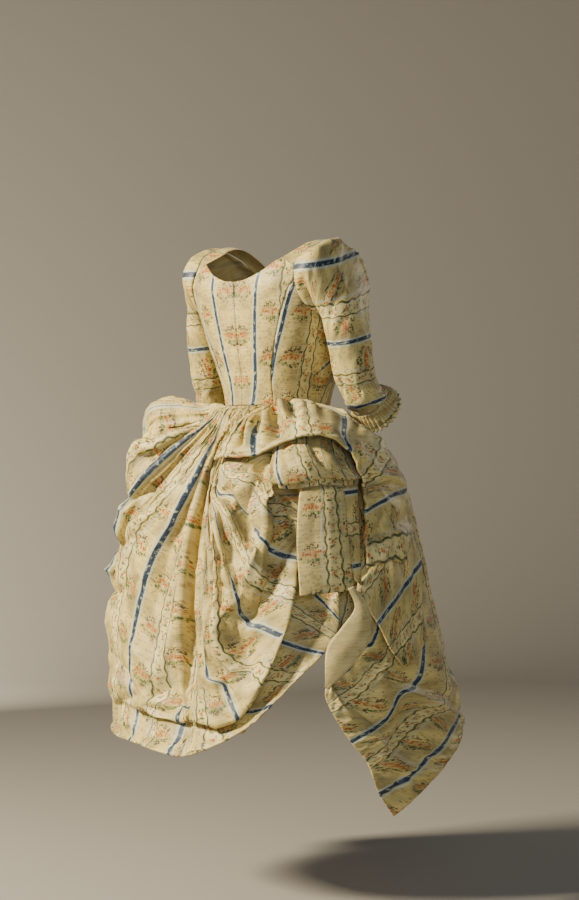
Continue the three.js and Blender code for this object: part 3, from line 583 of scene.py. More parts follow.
# %% The silk's finish
def silk_taffeta(name, ground, ground_dark, print_strength, roughness):
    """Striped and flowered taffeta; print_strength below 1 is the faint reverse."""
    material = empty_material(name)
    tree = material.node_tree
    mm, slipped, v, w, from_blue, from_pair, past_pair = silk_places(tree)
    fine = streaks(tree, mm, 0.24, 0.62, Detail=3.0, Roughness=0.7)
    ragged = add_node(tree, RANGE, (fine, 0.36, 0.64, -0.5, 0.5))
    shade = add_node(tree, NOISE, {"Vector": mm, "Scale": 0.22, "Detail": 2.0})
    shade = add_node(tree, RANGE, (shade, 0.35, 0.65, 0.0, 1.0))
    most_dots, packed, few_dots = silk_knots(tree, slipped)
    # ground, with slubs along the weft and slow changes of tone
    slubs = streaks(tree, mm, 0.03, 0.45, Detail=3.0)
    slow = add_node(tree, NOISE, {"Vector": mm, "Scale": 0.018, "Detail": 2.0})
    tone = add_node(tree, MATH, (slubs, 0.6, slow), operation="MULTIPLY_ADD")
    tone = add_node(tree, RANGE, (tone, 0.6, 1.0, 0.0, 1.0))
    blue, green = silk_stripes(tree, mm, fine, v, w, past_pair)
    leaves, coral, dark = silk_figures(tree, ragged, most_dots, packed, v, w, from_blue,
                                       from_pair)
    pale_line = add_node(tree, MATH, (from_pair, PALE_LINE), operation="SUBTRACT")
    colour, *inks = (add_node(tree, MIX, {0: factor, 6: srgb(deep), 7: srgb(light)}, 2,
                              data_type="RGBA")
                     for factor, deep, light in ((tone, ground_dark, ground), *(
                         (shade, *THREADS[thread]) for thread in ("blue", "coral", "speck"))))
    layers = (
        (band(tree, from_pair, PAIR_HALF, 1.5), 0.3, srgb("#e2d698")),
        (band(tree, pale_line, 1.2, 0.7), 0.55, srgb("#9fb0a4")),
        (green, 0.95, srgb("#36452a")),
        (few_dots, 0.7, inks[2]),
        (band(tree, w, BLUE_EDGE, 2.0), 0.6, srgb("#aebba6")),
        (blue, 1.0, inks[0]),
        (leaves, 0.95, srgb("#3a4e24")),
        (coral, 1.0, inks[1]),
        (dark, 0.9, srgb("#3a2c1c")),
    )
    for mask, strength, ink in layers:
        share = add_node(tree, MATH, (mask, strength * print_strength), operation="MULTIPLY")
        colour = add_node(tree, MIX, {0: share, 6: colour, 7: ink}, 2, data_type="RGBA")
    bump = add_node(tree, "ShaderNodeBump", {"Strength": 0.35, "Distance": 0.0004,
                                             "Height": slubs})
    add_node(tree, "ShaderNodeOutputMaterial", (add_node(tree, "ShaderNodeBsdfPrincipled", {
        "Base Color": colour, "Roughness": roughness, "Normal": bump,
        "Specular IOR Level": 0.3, "Sheen Weight": 0.12, "Sheen Roughness": 0.4}),), None)
    return material


finishes = {
    "silk": silk_taffeta("Silk taffeta, striped and flowered", "#d4bf70", "#90824f", 1.0, 0.5),
    "silk_reverse": silk_taffeta("Silk taffeta, reverse", "#cebd7c", "#a3925a", 0.22, 0.55),
}
print("finishes:", [m.name for m in finishes.values()])

# %% [markdown]
# ## The body of the gown
# The bodice has six fitted pieces, cut close and sewn edge to edge, and two straps.  Its
# shape is the body's: rings of the torso from the waist up, part oval and part square.
# Each piece is a few lines drawn up that shape, and then a smooth sheet through them.

# %% Rings of the torso
TORSO = np.array([
    # height, half width, depth behind and before, how square behind and before
    [WAIST_Z, 108, 117, 95, 2.1, 2.1],
    [-295, 114, 116, 102, 2.15, 2.1],
    [-262, 126, 119, 112, 2.3, 2.15],
    [-220, 139, 127, 128, 2.5, 2.2],
    [-160, 152, 135, 139, 3.0, 2.3],
    [-105, 161, 140, 130, 3.8, 2.4],
    [-69, 164, 138, 114, 4.2, 2.4],
    [-20, 159, 114, 88, 4.0, 2.6],
    [20, 149, 86, 70, 3.6, 2.8],
])


def torso_ring(z, behind):
    """Half width, depth and squareness at height z."""
    ring = catmull(TORSO[:, 1:], index_at(TORSO[:, 0], z))
    return (ring[..., 0], np.where(behind, ring[..., 1], ring[..., 2]),
            np.where(behind, ring[..., 3], ring[..., 4]))


def torso_radius(angle, z):
    """Distance from the body's axis to its surface, at an angle and a height."""
    a = np.radians(angle)
    half, depth, square = torso_ring(z, np.cos(a) >= 0)
    x, y = np.abs(np.sin(a)) / half, np.abs(np.cos(a)) / depth
    return (x**square + y**square) ** (-1 / square)


def armhole(turn):
    """A point of the armhole: turn 0 is its top, 90 its back, 180 the underarm."""
    a = np.radians(turn)
    y = ARMHOLE_MID_Y + np.where(np.sin(a) >= 0, ARMHOLE_BACK, ARMHOLE_FRONT) * np.sin(a)
    z = ARMHOLE_MID_Z + ARMHOLE_HALF_HEIGHT * np.cos(a)
    half, depth, square = torso_ring(z, y >= 0)
    return np.stack([-half * (1 - (np.abs(y) / depth) ** square) ** (1 / square), y, z], -1)


def bodice_lines(lines, steps_up):
    """Each line climbs through (angle, height) marks and may end along the armhole."""
    columns = []
    for marks, arm in lines:
        marks = np.array(marks, float)
        t = np.linspace(0, len(marks) - 1, steps_up - len(arm) + 1)
        angle, z = catmull(marks, t).T
        column = place(np.stack([angle, torso_radius(angle, z), z], -1))
        columns.append(np.concatenate([column] + [armhole(np.array([float(a)])) for a in arm]))
    return np.array(columns)


def refined(grid, step, closed=False):
    """A smooth sheet through a coarse grid, with points about one step apart."""
    if closed:
        grid = np.concatenate([grid[-1:], grid, grid[:2]])
    for axis in (0, 1):
        g = grid.swapaxes(0, axis)
        start, end = (1, len(g) - 2) if closed and axis == 0 else (0, len(g) - 1)
        fine = np.linspace(start, end, 40 * (end - start) + 1)
        dense = catmull(g, fine)
        gaps = np.linalg.norm(np.diff(dense, axis=0), axis=2).mean(1)
        length = np.concatenate([[0], np.cumsum(gaps)])
        count = int(np.ceil(length[-1] / step))
        t = np.interp(np.linspace(0, length[-1], count + 1), length, fine)
        if closed and axis == 0:
            t = t[:-1]
        grid = catmull(g, t).swapaxes(0, axis)
    return grid


print("waist:", round(float(torso_radius(0.0, WAIST_Z)) * 2), "mm deep by",
      round(2 * TORSO[0, 1]), "mm wide")

# %% Lines of the bodice pieces
BACK_LINES = [
    ([(0.04, WAIST_Z), (0.04, -270), (0.04, -200), (0.04, -130), (0.04, NECK_BACK_Z)], ()),
    ([(8, WAIST_Z), (7.5, -270), (9, -200), (11, -130), (13, -71)], ()),
    ([(17, WAIST_Z), (16, -270), (19, -195), (23, -122), (28, -55)], ()),
    ([(27, WAIST_Z), (25, -270), (30, -190), (36, -115), (42, -33)], ()),
    ([(35.95, WAIST_Z), (33.95, -262), (39.95, -175), (46.3, -101)], (91, 67.5)),
]
SIDE_LINES = [
    ([(36.05, WAIST_Z), (34.05, -262), (40.05, -175), (46.4, -101.5)], (91.2,)),
    ([(48, WAIST_Z), (47, -262), (52, -185), (56, -118)], (112.5,)),
    ([(60, WAIST_Z), (60, -262), (63, -190), (66, -140)], (135,)),
    ([(72, WAIST_Z), (72, -265), (74, -205), (76, -155)], (157.5,)),
    ([(84.3, WAIST_Z), (84.3, -270), (84.3, -210), (84.3, -162)], (179.8,)),
]
FRONT_LINES = [
    ([(84.4, WAIST_Z), (84.4, -270), (84.4, -210), (84.4, -162)], (180.2,)),
    ([(98, WAIST_Z), (97, -270), (96, -210), (95, -158)], (202.5,)),
    ([(111, WAIST_Z), (109, -265), (106, -200), (104, -142)], (225,)),
    ([(123, WAIST_Z), (120, -262), (116, -185), (112, -120)], (247.5,)),
    ([(134, WAIST_Z), (131, -262), (125, -170), (119, -95)], (270,)),
    ([(144, WAIST_Z), (141, -262), (133, -165), (123, -75)], (292.5,)),
    ([(156, WAIST_Z), (153, -262), (147, -170), (138, -66)], ()),
    ([(168, WAIST_Z), (166, -262), (163, -190), (159, -112)], ()),
    ([(179.96, WAIST_Z), (179.96, -262), (179.96, -205), (179.96, NECK_FRONT_Z)], ()),
]


def across_lengths(sheet):
    """Distance across each row of the sheet, from its first column."""
    return row_lengths(sheet.swapaxes(0, 1)).T


back = refined(bodice_lines(BACK_LINES, 8), STEP)
side = refined(bodice_lines(SIDE_LINES, 6), STEP)
front = refined(bodice_lines(FRONT_LINES, 6), STEP)
for title, sheet in (("back", back), ("side", side), ("front", front)):
    print("bodice", title, "piece:", round(across_lengths(sheet)[-1].max()), "by",
          round(row_lengths(sheet)[:, -1].max()), "mm")

# %% The bodice, with its stripes laid up the body
BLUE_AT_WAIST, BLUE_LEANS = 28, 38 / 261       # the blue stripe leans from the centre back
BLUE_IN_FRONT = 73                     # from the centre front to its blue stripe
GROOVE_DEEP, GROOVE_WIDE = 1.1, 2.6    # the seam sinks between the two panels
PUCKER_HIGH, PUCKER_WIDE = 0.9, 9      # and draws small puckers beside it
back_u = across_lengths(back) - (BLUE_AT_WAIST + BLUE_LEANS * (back[..., 2] - WAIST_Z))
side_u = across_lengths(side) - np.interp(side[..., 2], [WAIST_Z, -262, -170, -100],
                                          [-14, 1, 8, 8])
front_u = across_lengths(front[::-1])[::-1] - BLUE_IN_FRONT
for suffix, mirror in BOTH_SIDES:
    for part, sheet, u, flat, area in (
            ("back", back, back_u, (0.155, 0.31), 0.028),
            ("side", side, side_u, (0.14, 0.27), 0.024),
            ("front", front, front_u, (0.23, 0.31), 0.051)):
        from_seam = np.minimum(across_lengths(sheet), across_lengths(sheet[::-1])[::-1])
        groove = -GROOVE_DEEP * np.exp(-((from_seam / GROOVE_WIDE) ** 2))
        puckers = PUCKER_HIGH * np.exp(-((from_seam / PUCKER_WIDE) ** 2)) * soft_noise(
            from_seam / 40, sheet[..., 2] / 7, 4)
        puckers = puckers + 0.9 * crumple(u, sheet[..., 2], 38, 5, stretch=0.6)
        cloth_piece(f"bodice_{part}_{suffix}", raise_by(sheet, groove + puckers), u, -sheet[..., 2],
                    flat, area, mirror=mirror)

# %% [markdown]
# ## Sewing stitches
# The seams of the bodice are sewn by hand with silk thread, in small even stitches beside
# each seam and under the neck edge.  A stitch is a short capsule half sunk in the cloth.
# There are hundreds, so each has only twenty faces.  Real ones are 2 mm long and closer;
# these are a little longer, so that they can be seen.

# %% Stitches
def silk_thread(name):
    """Twisted silk: a soft shine, with painted shade in the hollows between the plies."""
    material = empty_material(name)
    tree = material.node_tree
    place_mm = add_node(tree, "ShaderNodeTexCoord", output=3)
    place_mm = add_node(tree, VECTOR, {0: place_mm, 3: 1000.0}, operation="SCALE")
    plies = add_node(tree, "ShaderNodeTexWave", {"Vector": place_mm, "Scale": 0.9,
                                                 "Distortion": 1.5}, output=1,
                     bands_direction="DIAGONAL")
    # the ply wave darkens the thread's colour in the hollows between plies: painted shade
    colour = add_node(tree, MIX, {0: plies, 6: srgb("#ab9a60"), 7: srgb("#ddd0a0")}, 2,
                      data_type="RGBA")
    bump = add_node(tree, "ShaderNodeBump", {"Strength": 0.4, "Distance": 0.0001,
                                             "Height": plies})
    add_node(tree, "ShaderNodeOutputMaterial", (add_node(tree, "ShaderNodeBsdfPrincipled", {
        "Base Color": colour, "Roughness": 0.45, "Normal": bump}),), None)
    return material


finishes["thread"] = silk_thread("Silk sewing thread, twisted")
STITCH_LONG, STITCH_APART, STITCH_THICK = 3.6, 6.4, 0.35
CAPSULE = [(-0.5, 0.35), (-0.36, 1), (0.36, 1), (0.5, 0.35)]    # along its length, how thick
SIDES = 6


def stitch_line(path, normals):
    """Middles, directions and outward normals of the stitches along a path."""
    run = np.concatenate([[0], np.cumsum(np.linalg.norm(np.diff(path, axis=0), axis=1))])
    at = np.arange(STITCH_APART, run[-1] - STITCH_APART, STITCH_APART)
    middle, ahead, out = (np.stack([np.interp(a, run, values[:, k]) for k in range(3)], 1)
                          for a, values in ((at, path), (at + 1, path), (at, normals)))
    forward = ahead - middle
    return (middle + out * WALL / 2, forward / np.linalg.norm(forward, axis=1, keepdims=True),
            out / np.linalg.norm(out, axis=1, keepdims=True))


def sew(name, lines, mirror):
    """One mesh of capsules for the stitches of a bodice piece."""
    middle, forward, out = (np.concatenate(parts) for parts in zip(*lines))
    sideways = np.cross(forward, out)
    turn = 2 * np.pi * np.arange(SIDES) / SIDES
    spokes = (np.cos(turn)[:, None] * sideways[:, None] + np.sin(turn)[:, None] * out[:, None])
    rings = [middle[:, None] + forward[:, None] * STITCH_LONG * far + spokes * STITCH_THICK * wide
             for far, wide in CAPSULE]
    points = np.stack(rings, 1) * (MM * np.array([-1, 1, 1]) if mirror else MM)
    faces, size = [], SIDES * len(CAPSULE)
    for start in range(0, len(middle) * size, size):
        faces.append([start + k for k in range(SIDES)])
        faces.append([start + size - 1 - k for k in range(SIDES)])
        faces += [[start + r * SIDES + k, start + (r + 1) * SIDES + k,
                   start + (r + 1) * SIDES + (k + 1) % SIDES, start + r * SIDES + (k + 1) % SIDES]
                  for r in range(len(CAPSULE) - 1) for k in range(SIDES)]
    if not mirror:
        faces = [face[::-1] for face in faces]
    mesh = new_mesh(name, points.reshape(-1, 3).tolist(), faces)
    mesh.materials.append(finishes["thread"])
    mesh.shade_smooth()
    piece = new_object(name, mesh)
    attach(piece, "root")
    print(f"{name}: {len(middle)} stitches")


back_out, side_out, front_out = (sheet_normals(sheet) for sheet in (back, side, front))
seam_lines = {part: [stitch_line(sheet[k], out[k]) for k in (1, -2)] for part, sheet, out in (
    ("back", back, back_out), ("side", side, side_out), ("front", front, front_out))}
# the neck edge takes the first part of the back's top row and the last of the front's
neck_back, neck_front = slice(int(0.72 * len(back))), slice(int(0.66 * len(front)), None)
for part, sheet, out, neck in (("back", back, back_out, neck_back),
                               ("front", front, front_out, neck_front)):
    seam_lines[part].append(stitch_line(sheet[neck, -2], out[neck, -2]))
for suffix, mirror in BOTH_SIDES:
    for part, lines in seam_lines.items():
        sew(f"stitches_{part}_{suffix}", lines, mirror)

# %% [markdown]
# ## Straps, sleeves and flounces
# A strap joins the back neck to the front over the shoulder.  The sleeve is set over the
# edge of the armhole, bends at the elbow, and ends in a small pleated flounce.  The
# sleeve's stripes run round the arm, because it was cut across the cloth.

# %% Straps
def lerp(a, b, t):
    """The place a share t of the way from a to b."""
    return a + (b - a) * t


def strap_line(inner, outer, lift):
    """Four points over the shoulder, from the neck outwards, lifted in the middle."""
    t = np.linspace(0, 1, 4)[:, None]
    return lerp(np.array(inner, float), np.array(outer, float), t) + [0, 0, 1] * (
        lift * 4 * t * (1 - t))


def on_torso(angle, z):
    return place(np.array([angle, float(torso_radius(angle, z)), z]))


behind, before = np.array([0, -0.4, 0.7]), np.array([0, 0.4, 0.7])
strap = np.array([
    strap_line(on_torso(42, -33) + behind, armhole(67.5) + behind, 0),
    strap_line((-103, 64, -9), armhole(45), 3),
    strap_line((-105, 42, 1), armhole(22.5), 5),
    strap_line((-106, 12, SHOULDER_Z), armhole(0), 6),
    strap_line((-105, -20, -1), armhole(-22.5), 5),
    strap_line((-103, -62, -24), armhole(-45), 3),
    strap_line(on_torso(138, -66) + before, armhole(-67.5) + before, 0),
])
strap = refined(strap, STEP)
strap_v = across_lengths(strap)
strap_u = row_lengths(strap) + 12
for suffix, mirror in BOTH_SIDES:
    cloth_piece(f"strap_{suffix}", strap, strap_u, strap_v, (0.19, 0.065),
                0.0105, mirror=mirror)

# %% Sleeve rings, from the armhole down the arm
SLEEVE_RINGS = [
    # middle, half size across, half size deep, degrees that its outer side is dropped
    ((-174, 16, -68), 0, 92, 78),
    ((-191, 14, -126), 39, 62, 38),
    ((-198, 12, -170), 40, 51, 14),
    ((-201, 5, -215), 41, 46, 2),
    ((-204, -4, -260), 40, 44, -6),
    ((-206, -18, -297), 41, 44, -26),
    ((-206, -46, -318), 40, 41, -50),
]
HEAD_HALF_WIDTH, HEAD_HALF_HEIGHT = 12, 70


def sleeve_ring(row, turn):
    """Points round one ring of the sleeve; turn 0 is its outer side."""
    (x, y, z), across, deep, tip = SLEEVE_RINGS[row]
    a, lean = np.radians(turn), np.radians(tip)
    out, fore = -across * np.cos(a), deep * np.sin(a)
    if row == 0:
        ring = (x - HEAD_HALF_WIDTH * np.cos(a), y + fore, z + HEAD_HALF_HEIGHT * np.cos(a))
    elif tip < 0:
        ring = (x + out, y + fore * np.cos(lean), z + fore * np.sin(lean))
    else:
        ring = (x + out * np.cos(lean), y + fore, z - out * np.sin(lean))
    return np.stack(np.broadcast_arrays(*ring), -1)


SET_IN = 1.9                           # the sleeve lies just outside the armhole edge
turns = np.arange(16) * 22.5 + 180     # the seam is under the arm
edge = armhole(turns % 360)
edge[:, 0] -= 0.9 * SET_IN
edge[:, 1] += 0.5 * SET_IN * np.sin(np.radians(turns))
rings = [edge] + [sleeve_ring(row, turns) for row in range(len(SLEEVE_RINGS))]
sleeve = refined(np.stack(rings, 1), STEP, closed=True)
print("sleeve:", sleeve.shape[0], "by", sleeve.shape[1], "points")

# %% The sleeve's stripes and creases
def closed_lengths(sheet):
    """Distance round each ring, with one more column that closes it."""
    return across_lengths(np.concatenate([sheet, sheet[:1]]))


def closed_copy(values):
    return np.concatenate([values, values[:1]])


round_arm = closed_lengths(sleeve)
down_arm = closed_copy(row_lengths(sleeve))
# heights that each green or blue stripe passes; they tip down towards the back
level = sleeve[..., 2] + 0.27 * (sleeve[..., 1] - ARMHOLE_MID_Y)
sleeve_u = closed_copy(np.interp(level, [-370, -330, -270, -190, -125, -25, 40],
                                 [330, 292, 219, 146, 73, 0, -50]))
puckers = 1.6 * crumple(round_arm, down_arm, 40, 11, turn=1.2)[:-1]
puckers *= ramp(row_lengths(sleeve), 4, 30)
SLEEVE_CREASES = [
    # round the arm from the underarm, down the arm, again, widths, height
    (119, 24, 116, 300, 6, 5, 3.5),        # the pressed fold down the outside
    (30, 236, 104, 246, 6, 7, -4.5),       # creases in the bend of the elbow
    (40, 256, 100, 266, 6, 6, -4),
    (36, 216, 92, 212, 6, 7, -3.5),
    (60, 190, 96, 176, 7, 7, -3),
    (70, 0, 74, 40, 5, 5, -3),             # puckers where the sleeve is set in
    (88, 0, 90, 32, 4, 4, -3),
    (104, 0, 103, 44, 5, 4, -3.5),
    (124, 0, 128, 36, 5, 5, 3),
    (141, 0, 140, 30, 4, 5, -3),
    (156, 0, 150, 46, 5, 5, -3),
    (172, 0, 166, 34, 5, 5, 3),
    (190, 0, 182, 52, 6, 5, -4),
    (208, 0, 200, 60, 6, 6, -4.5),
    (226, 0, 220, 66, 7, 6, -5),
    (243, 6, 236, 80, 7, 8, -4),
    (190, 120, 230, 160, 8, 9, -3),
    (150, 150, 200, 200, 9, 9, -2.5),
]
puckers = puckers + creases(SLEEVE_CREASES, round_arm[:-1], down_arm[:-1])
sleeve_cloth = raise_by(sleeve, puckers)
sleeve_cloth = settled(sleeve_cloth, held_edges(sleeve, sides=False), most=6, closed=True)
for suffix, mirror in BOTH_SIDES:
    cloth_piece(f"sleeve_{suffix}", sleeve_cloth, sleeve_u, round_arm, (0.38, 0.31),
                0.09, closed=True, mirror=mirror)

# %% Flounces: a strip of silk, pleated into the sleeve's end
FLOUNCE_LONG, FLOUNCE_SHORT = 38, 20
FLOUNCE_DOWN = np.array([-0.05, -0.72, -0.69])
FLOUNCE_OUT, FLOUNCE_FLARE, FLOUNCE_PLEAT = 2.4, 11, 4  # clear of the sleeve, spread, depth
FLOUNCE_PLEATS = 30
flounce_turns = np.arange(0, 360, 1.5 if STEP < 5 else 3.0) + 180
top = sleeve_ring(len(SLEEVE_RINGS) - 1, flounce_turns)
out = top - np.array(SLEEVE_RINGS[-1][0])
out /= np.linalg.norm(out, axis=1, keepdims=True)
flounce_length = lerp(FLOUNCE_SHORT, FLOUNCE_LONG, 0.5 + 0.5 * np.cos(
    np.radians(flounce_turns - 45)))
down = np.linspace(0, 1, 12)[None, :, None]
pleats = np.sin(np.radians(flounce_turns) * FLOUNCE_PLEATS
                + 1.3 * np.sin(np.radians(flounce_turns) * 5))[:, None, None]
flounce = (top[:, None] + out[:, None] * (FLOUNCE_OUT + FLOUNCE_FLARE * down
                                          + FLOUNCE_PLEAT * pleats * np.sqrt(down))
           + FLOUNCE_DOWN * flounce_length[:, None, None] * down)
flounce_v = closed_copy(row_lengths(flounce))
for suffix, mirror in BOTH_SIDES:
    cloth_piece(f"sleeve_flounce_{suffix}", flounce, flounce_v + 30, closed_lengths(flounce),
                (0.62, 0.04), 0.018,
                closed=True, mirror=mirror)

# %% [markdown]
# ## The skirt back
# The back of the skirt is a wide width of silk pleated into the waist, pulled up and
# tucked under, so it falls in round puffs.  Each row of the table is one line of the
# cloth from the waist down: how far across the cloth it lies, its angle on the waist
# seam, and the places it passes on its way to the hem.

# %% Net of the skirt back
def skirt_net(rows):
    """A net whose rays start on the waist seam; a row is across, waist angle, places."""
    return cloth_net([(at, (angle, float(torso_radius(angle, WAIST_Z)), WAIST_Z - SEAM), *rest)
                      for at, angle, *rest in rows])


SEAM_UNDER_FOLD = 165, 250             # the centre-back seam lies inside the deep fold
SEAM_RAY = (-3, (0.6, 185, -416), (1, 208, -522), (-0.8, 216, -622), (-1.7, 224, -722),
            (0.8, 256, -850), (3.5, 286, -950), (3.5, 274, -954), (3.5, 316, -1026))
BACK_LEFT = skirt_net([
    # across, waist, then gather, high, hip, mid, belly, low, tuck, hem
    (-420, -62, (-75, 172, -325), (-82, 232, -316), (-87, 285, -360), (-91, 312, -480),
     (-94, 338, -660), (-94, 342, -835), (-93, 330, -856), (-90, 332, -905)),
    (-350, -49, (-60, 170, -322), (-65, 250, -298), (-68, 295, -340), (-78, 318, -460),
     (-82, 345, -650), (-80, 350, -868), (-79, 338, -894), (-77, 340, -945)),
    (-292, -38, (-46, 155, -325), (-55, 270, -322), (-58, 300, -375), (-64, 325, -500),
     (-68, 352, -680), (-66, 356, -890), (-65, 345, -922), (-64, 345, -972)),
    (-219, -30, (-31, 163, -355), (-41, 262, -395), (-47, 312, -425), (-54, 330, -530),
     (-58, 358, -680), (-54, 360, -895), (-53, 350, -932), (-52, 350, -990)),
    (-146, -24, (-25, 181, -368), (-36, 254, -437), (-44, 318, -505), (-47, 338, -560),
     (-48, 360, -690), (-43, 362, -898), (-42, 352, -936), (-41, 352, -998)),
    (-73, -20, (-16, 175, -385), (-25, 252, -488), (-33, 280, -530), (-42, 322, -590),
     (-42, 345, -730), (-33, 352, -908), (-32, 341, -940), (-32, 347, -1005)),
    (0, -16, (-7, 185, -400), (-8, 237, -491), (-16, 260, -562), (-25, 289, -649),
     (-30, 322, -790), (-27, 335, -922), (-26, 323, -942), (-23, 338, -1008)),
    (60, -12, (-4, 190, -405), (-7, 235, -521), (-11, 256, -610), (-18, 277, -720),
     (-17, 299, -850), (-14, 318, -948), (-14, 304, -950), (-13, 328, -1016)),
    (110, -8, (-1, 203, -414), (-3.2, 241, -522), (-5.8, 257, -622), (-6.8, 268, -722),
     (-5.3, 280, -850), (1, 298, -952), (1, 280, -956), (1, 320, -1026)),
    (125, -6, (0.5, 203, -415), (-0.6, 242, -522), (-3.1, 258, -622), (-4.1, 268, -722),
     (-2.8, 280, -850), (2.5, 298, -952), (2.5, 281, -956), (2.5, 320, -1026)),
    (SEAM_UNDER_FOLD[0], *SEAM_RAY),
])
BACK_RIGHT = skirt_net([
    (SEAM_UNDER_FOLD[1], *SEAM_RAY),
    (292, -1, (-0.3, 206, -434), (2.65, 240, -512), (0.8, 256, -604), (0.6, 268, -720),
     (5.2, 284, -850), (5.5, 310, -948), (6.5, 290, -955), (10, 322, -1018)),
    (325, 0, (1.5, 210, -440), (4.8, 244, -516), (3.8, 262, -606), (4.4, 277, -730),
     (9, 294, -860), (12.5, 318, -949), (13.5, 294, -953), (19, 327, -998)),
    (365, 1, (2.3, 212, -445), (7.5, 247, -520), (8.5, 268, -610), (8.5, 281, -740),
     (14, 302, -870), (20, 326, -950), (19, 298, -950), (31, 330, -960)),
    (438, 3, (3.2, 215, -454), (10, 264, -560), (14, 291, -670), (14, 302, -795),
     (22, 312, -870), (29, 335, -925), (26, 302, -920), (41, 333, -906)),
    (511, 5, (4, 219, -462), (13, 273, -570), (18, 302, -690), (20, 306, -790),
     (29, 305, -826), (37, 342, -853), (32, 304, -850), (49, 334, -859)),
    (584, 7, (4.9, 223, -470), (16, 278, -565), (23, 302, -670), (28, 293, -750),
     (35, 307, -757), (43, 343, -775), (37, 303, -780), (57, 333, -815)),
    (657, 9, (5.8, 228, -478), (18.5, 268, -535), (26, 288, -605), (34, 317, -668),
     (39, 312, -684), (46.5, 332, -696), (42, 292, -708), (61, 332, -784)),
    (730, 11, (7.4, 232, -488), (19.4, 264, -512), (29, 258, -558), (36, 300, -593),
     (42, 276, -623), (49, 287, -630), (48, 266, -655), (63, 325, -752)),
    (803, 13, (9, 229, -440), (24, 253, -468), (32, 244, -482), (37, 288, -518),
     (42, 261, -529), (51, 268, -548), (56, 270, -580), (64, 312, -715)),
    (860, 15, (14, 223, -428), (27, 238, -440), (35, 238, -448), (39, 272, -482),
     (42, 256, -490), (52, 252, -512), (57, 258, -545), (64, 298, -670)),
    (930, 17, (22, 192, -402), (31, 214, -402), (38, 220, -408), (44, 226, -425),
     (50, 230, -440), (57, 232, -455), (61, 240, -500), (65, 280, -600)),
])
print("skirt back:", len(BACK_LEFT["at"]) + len(BACK_RIGHT["at"]), "lines of cloth")
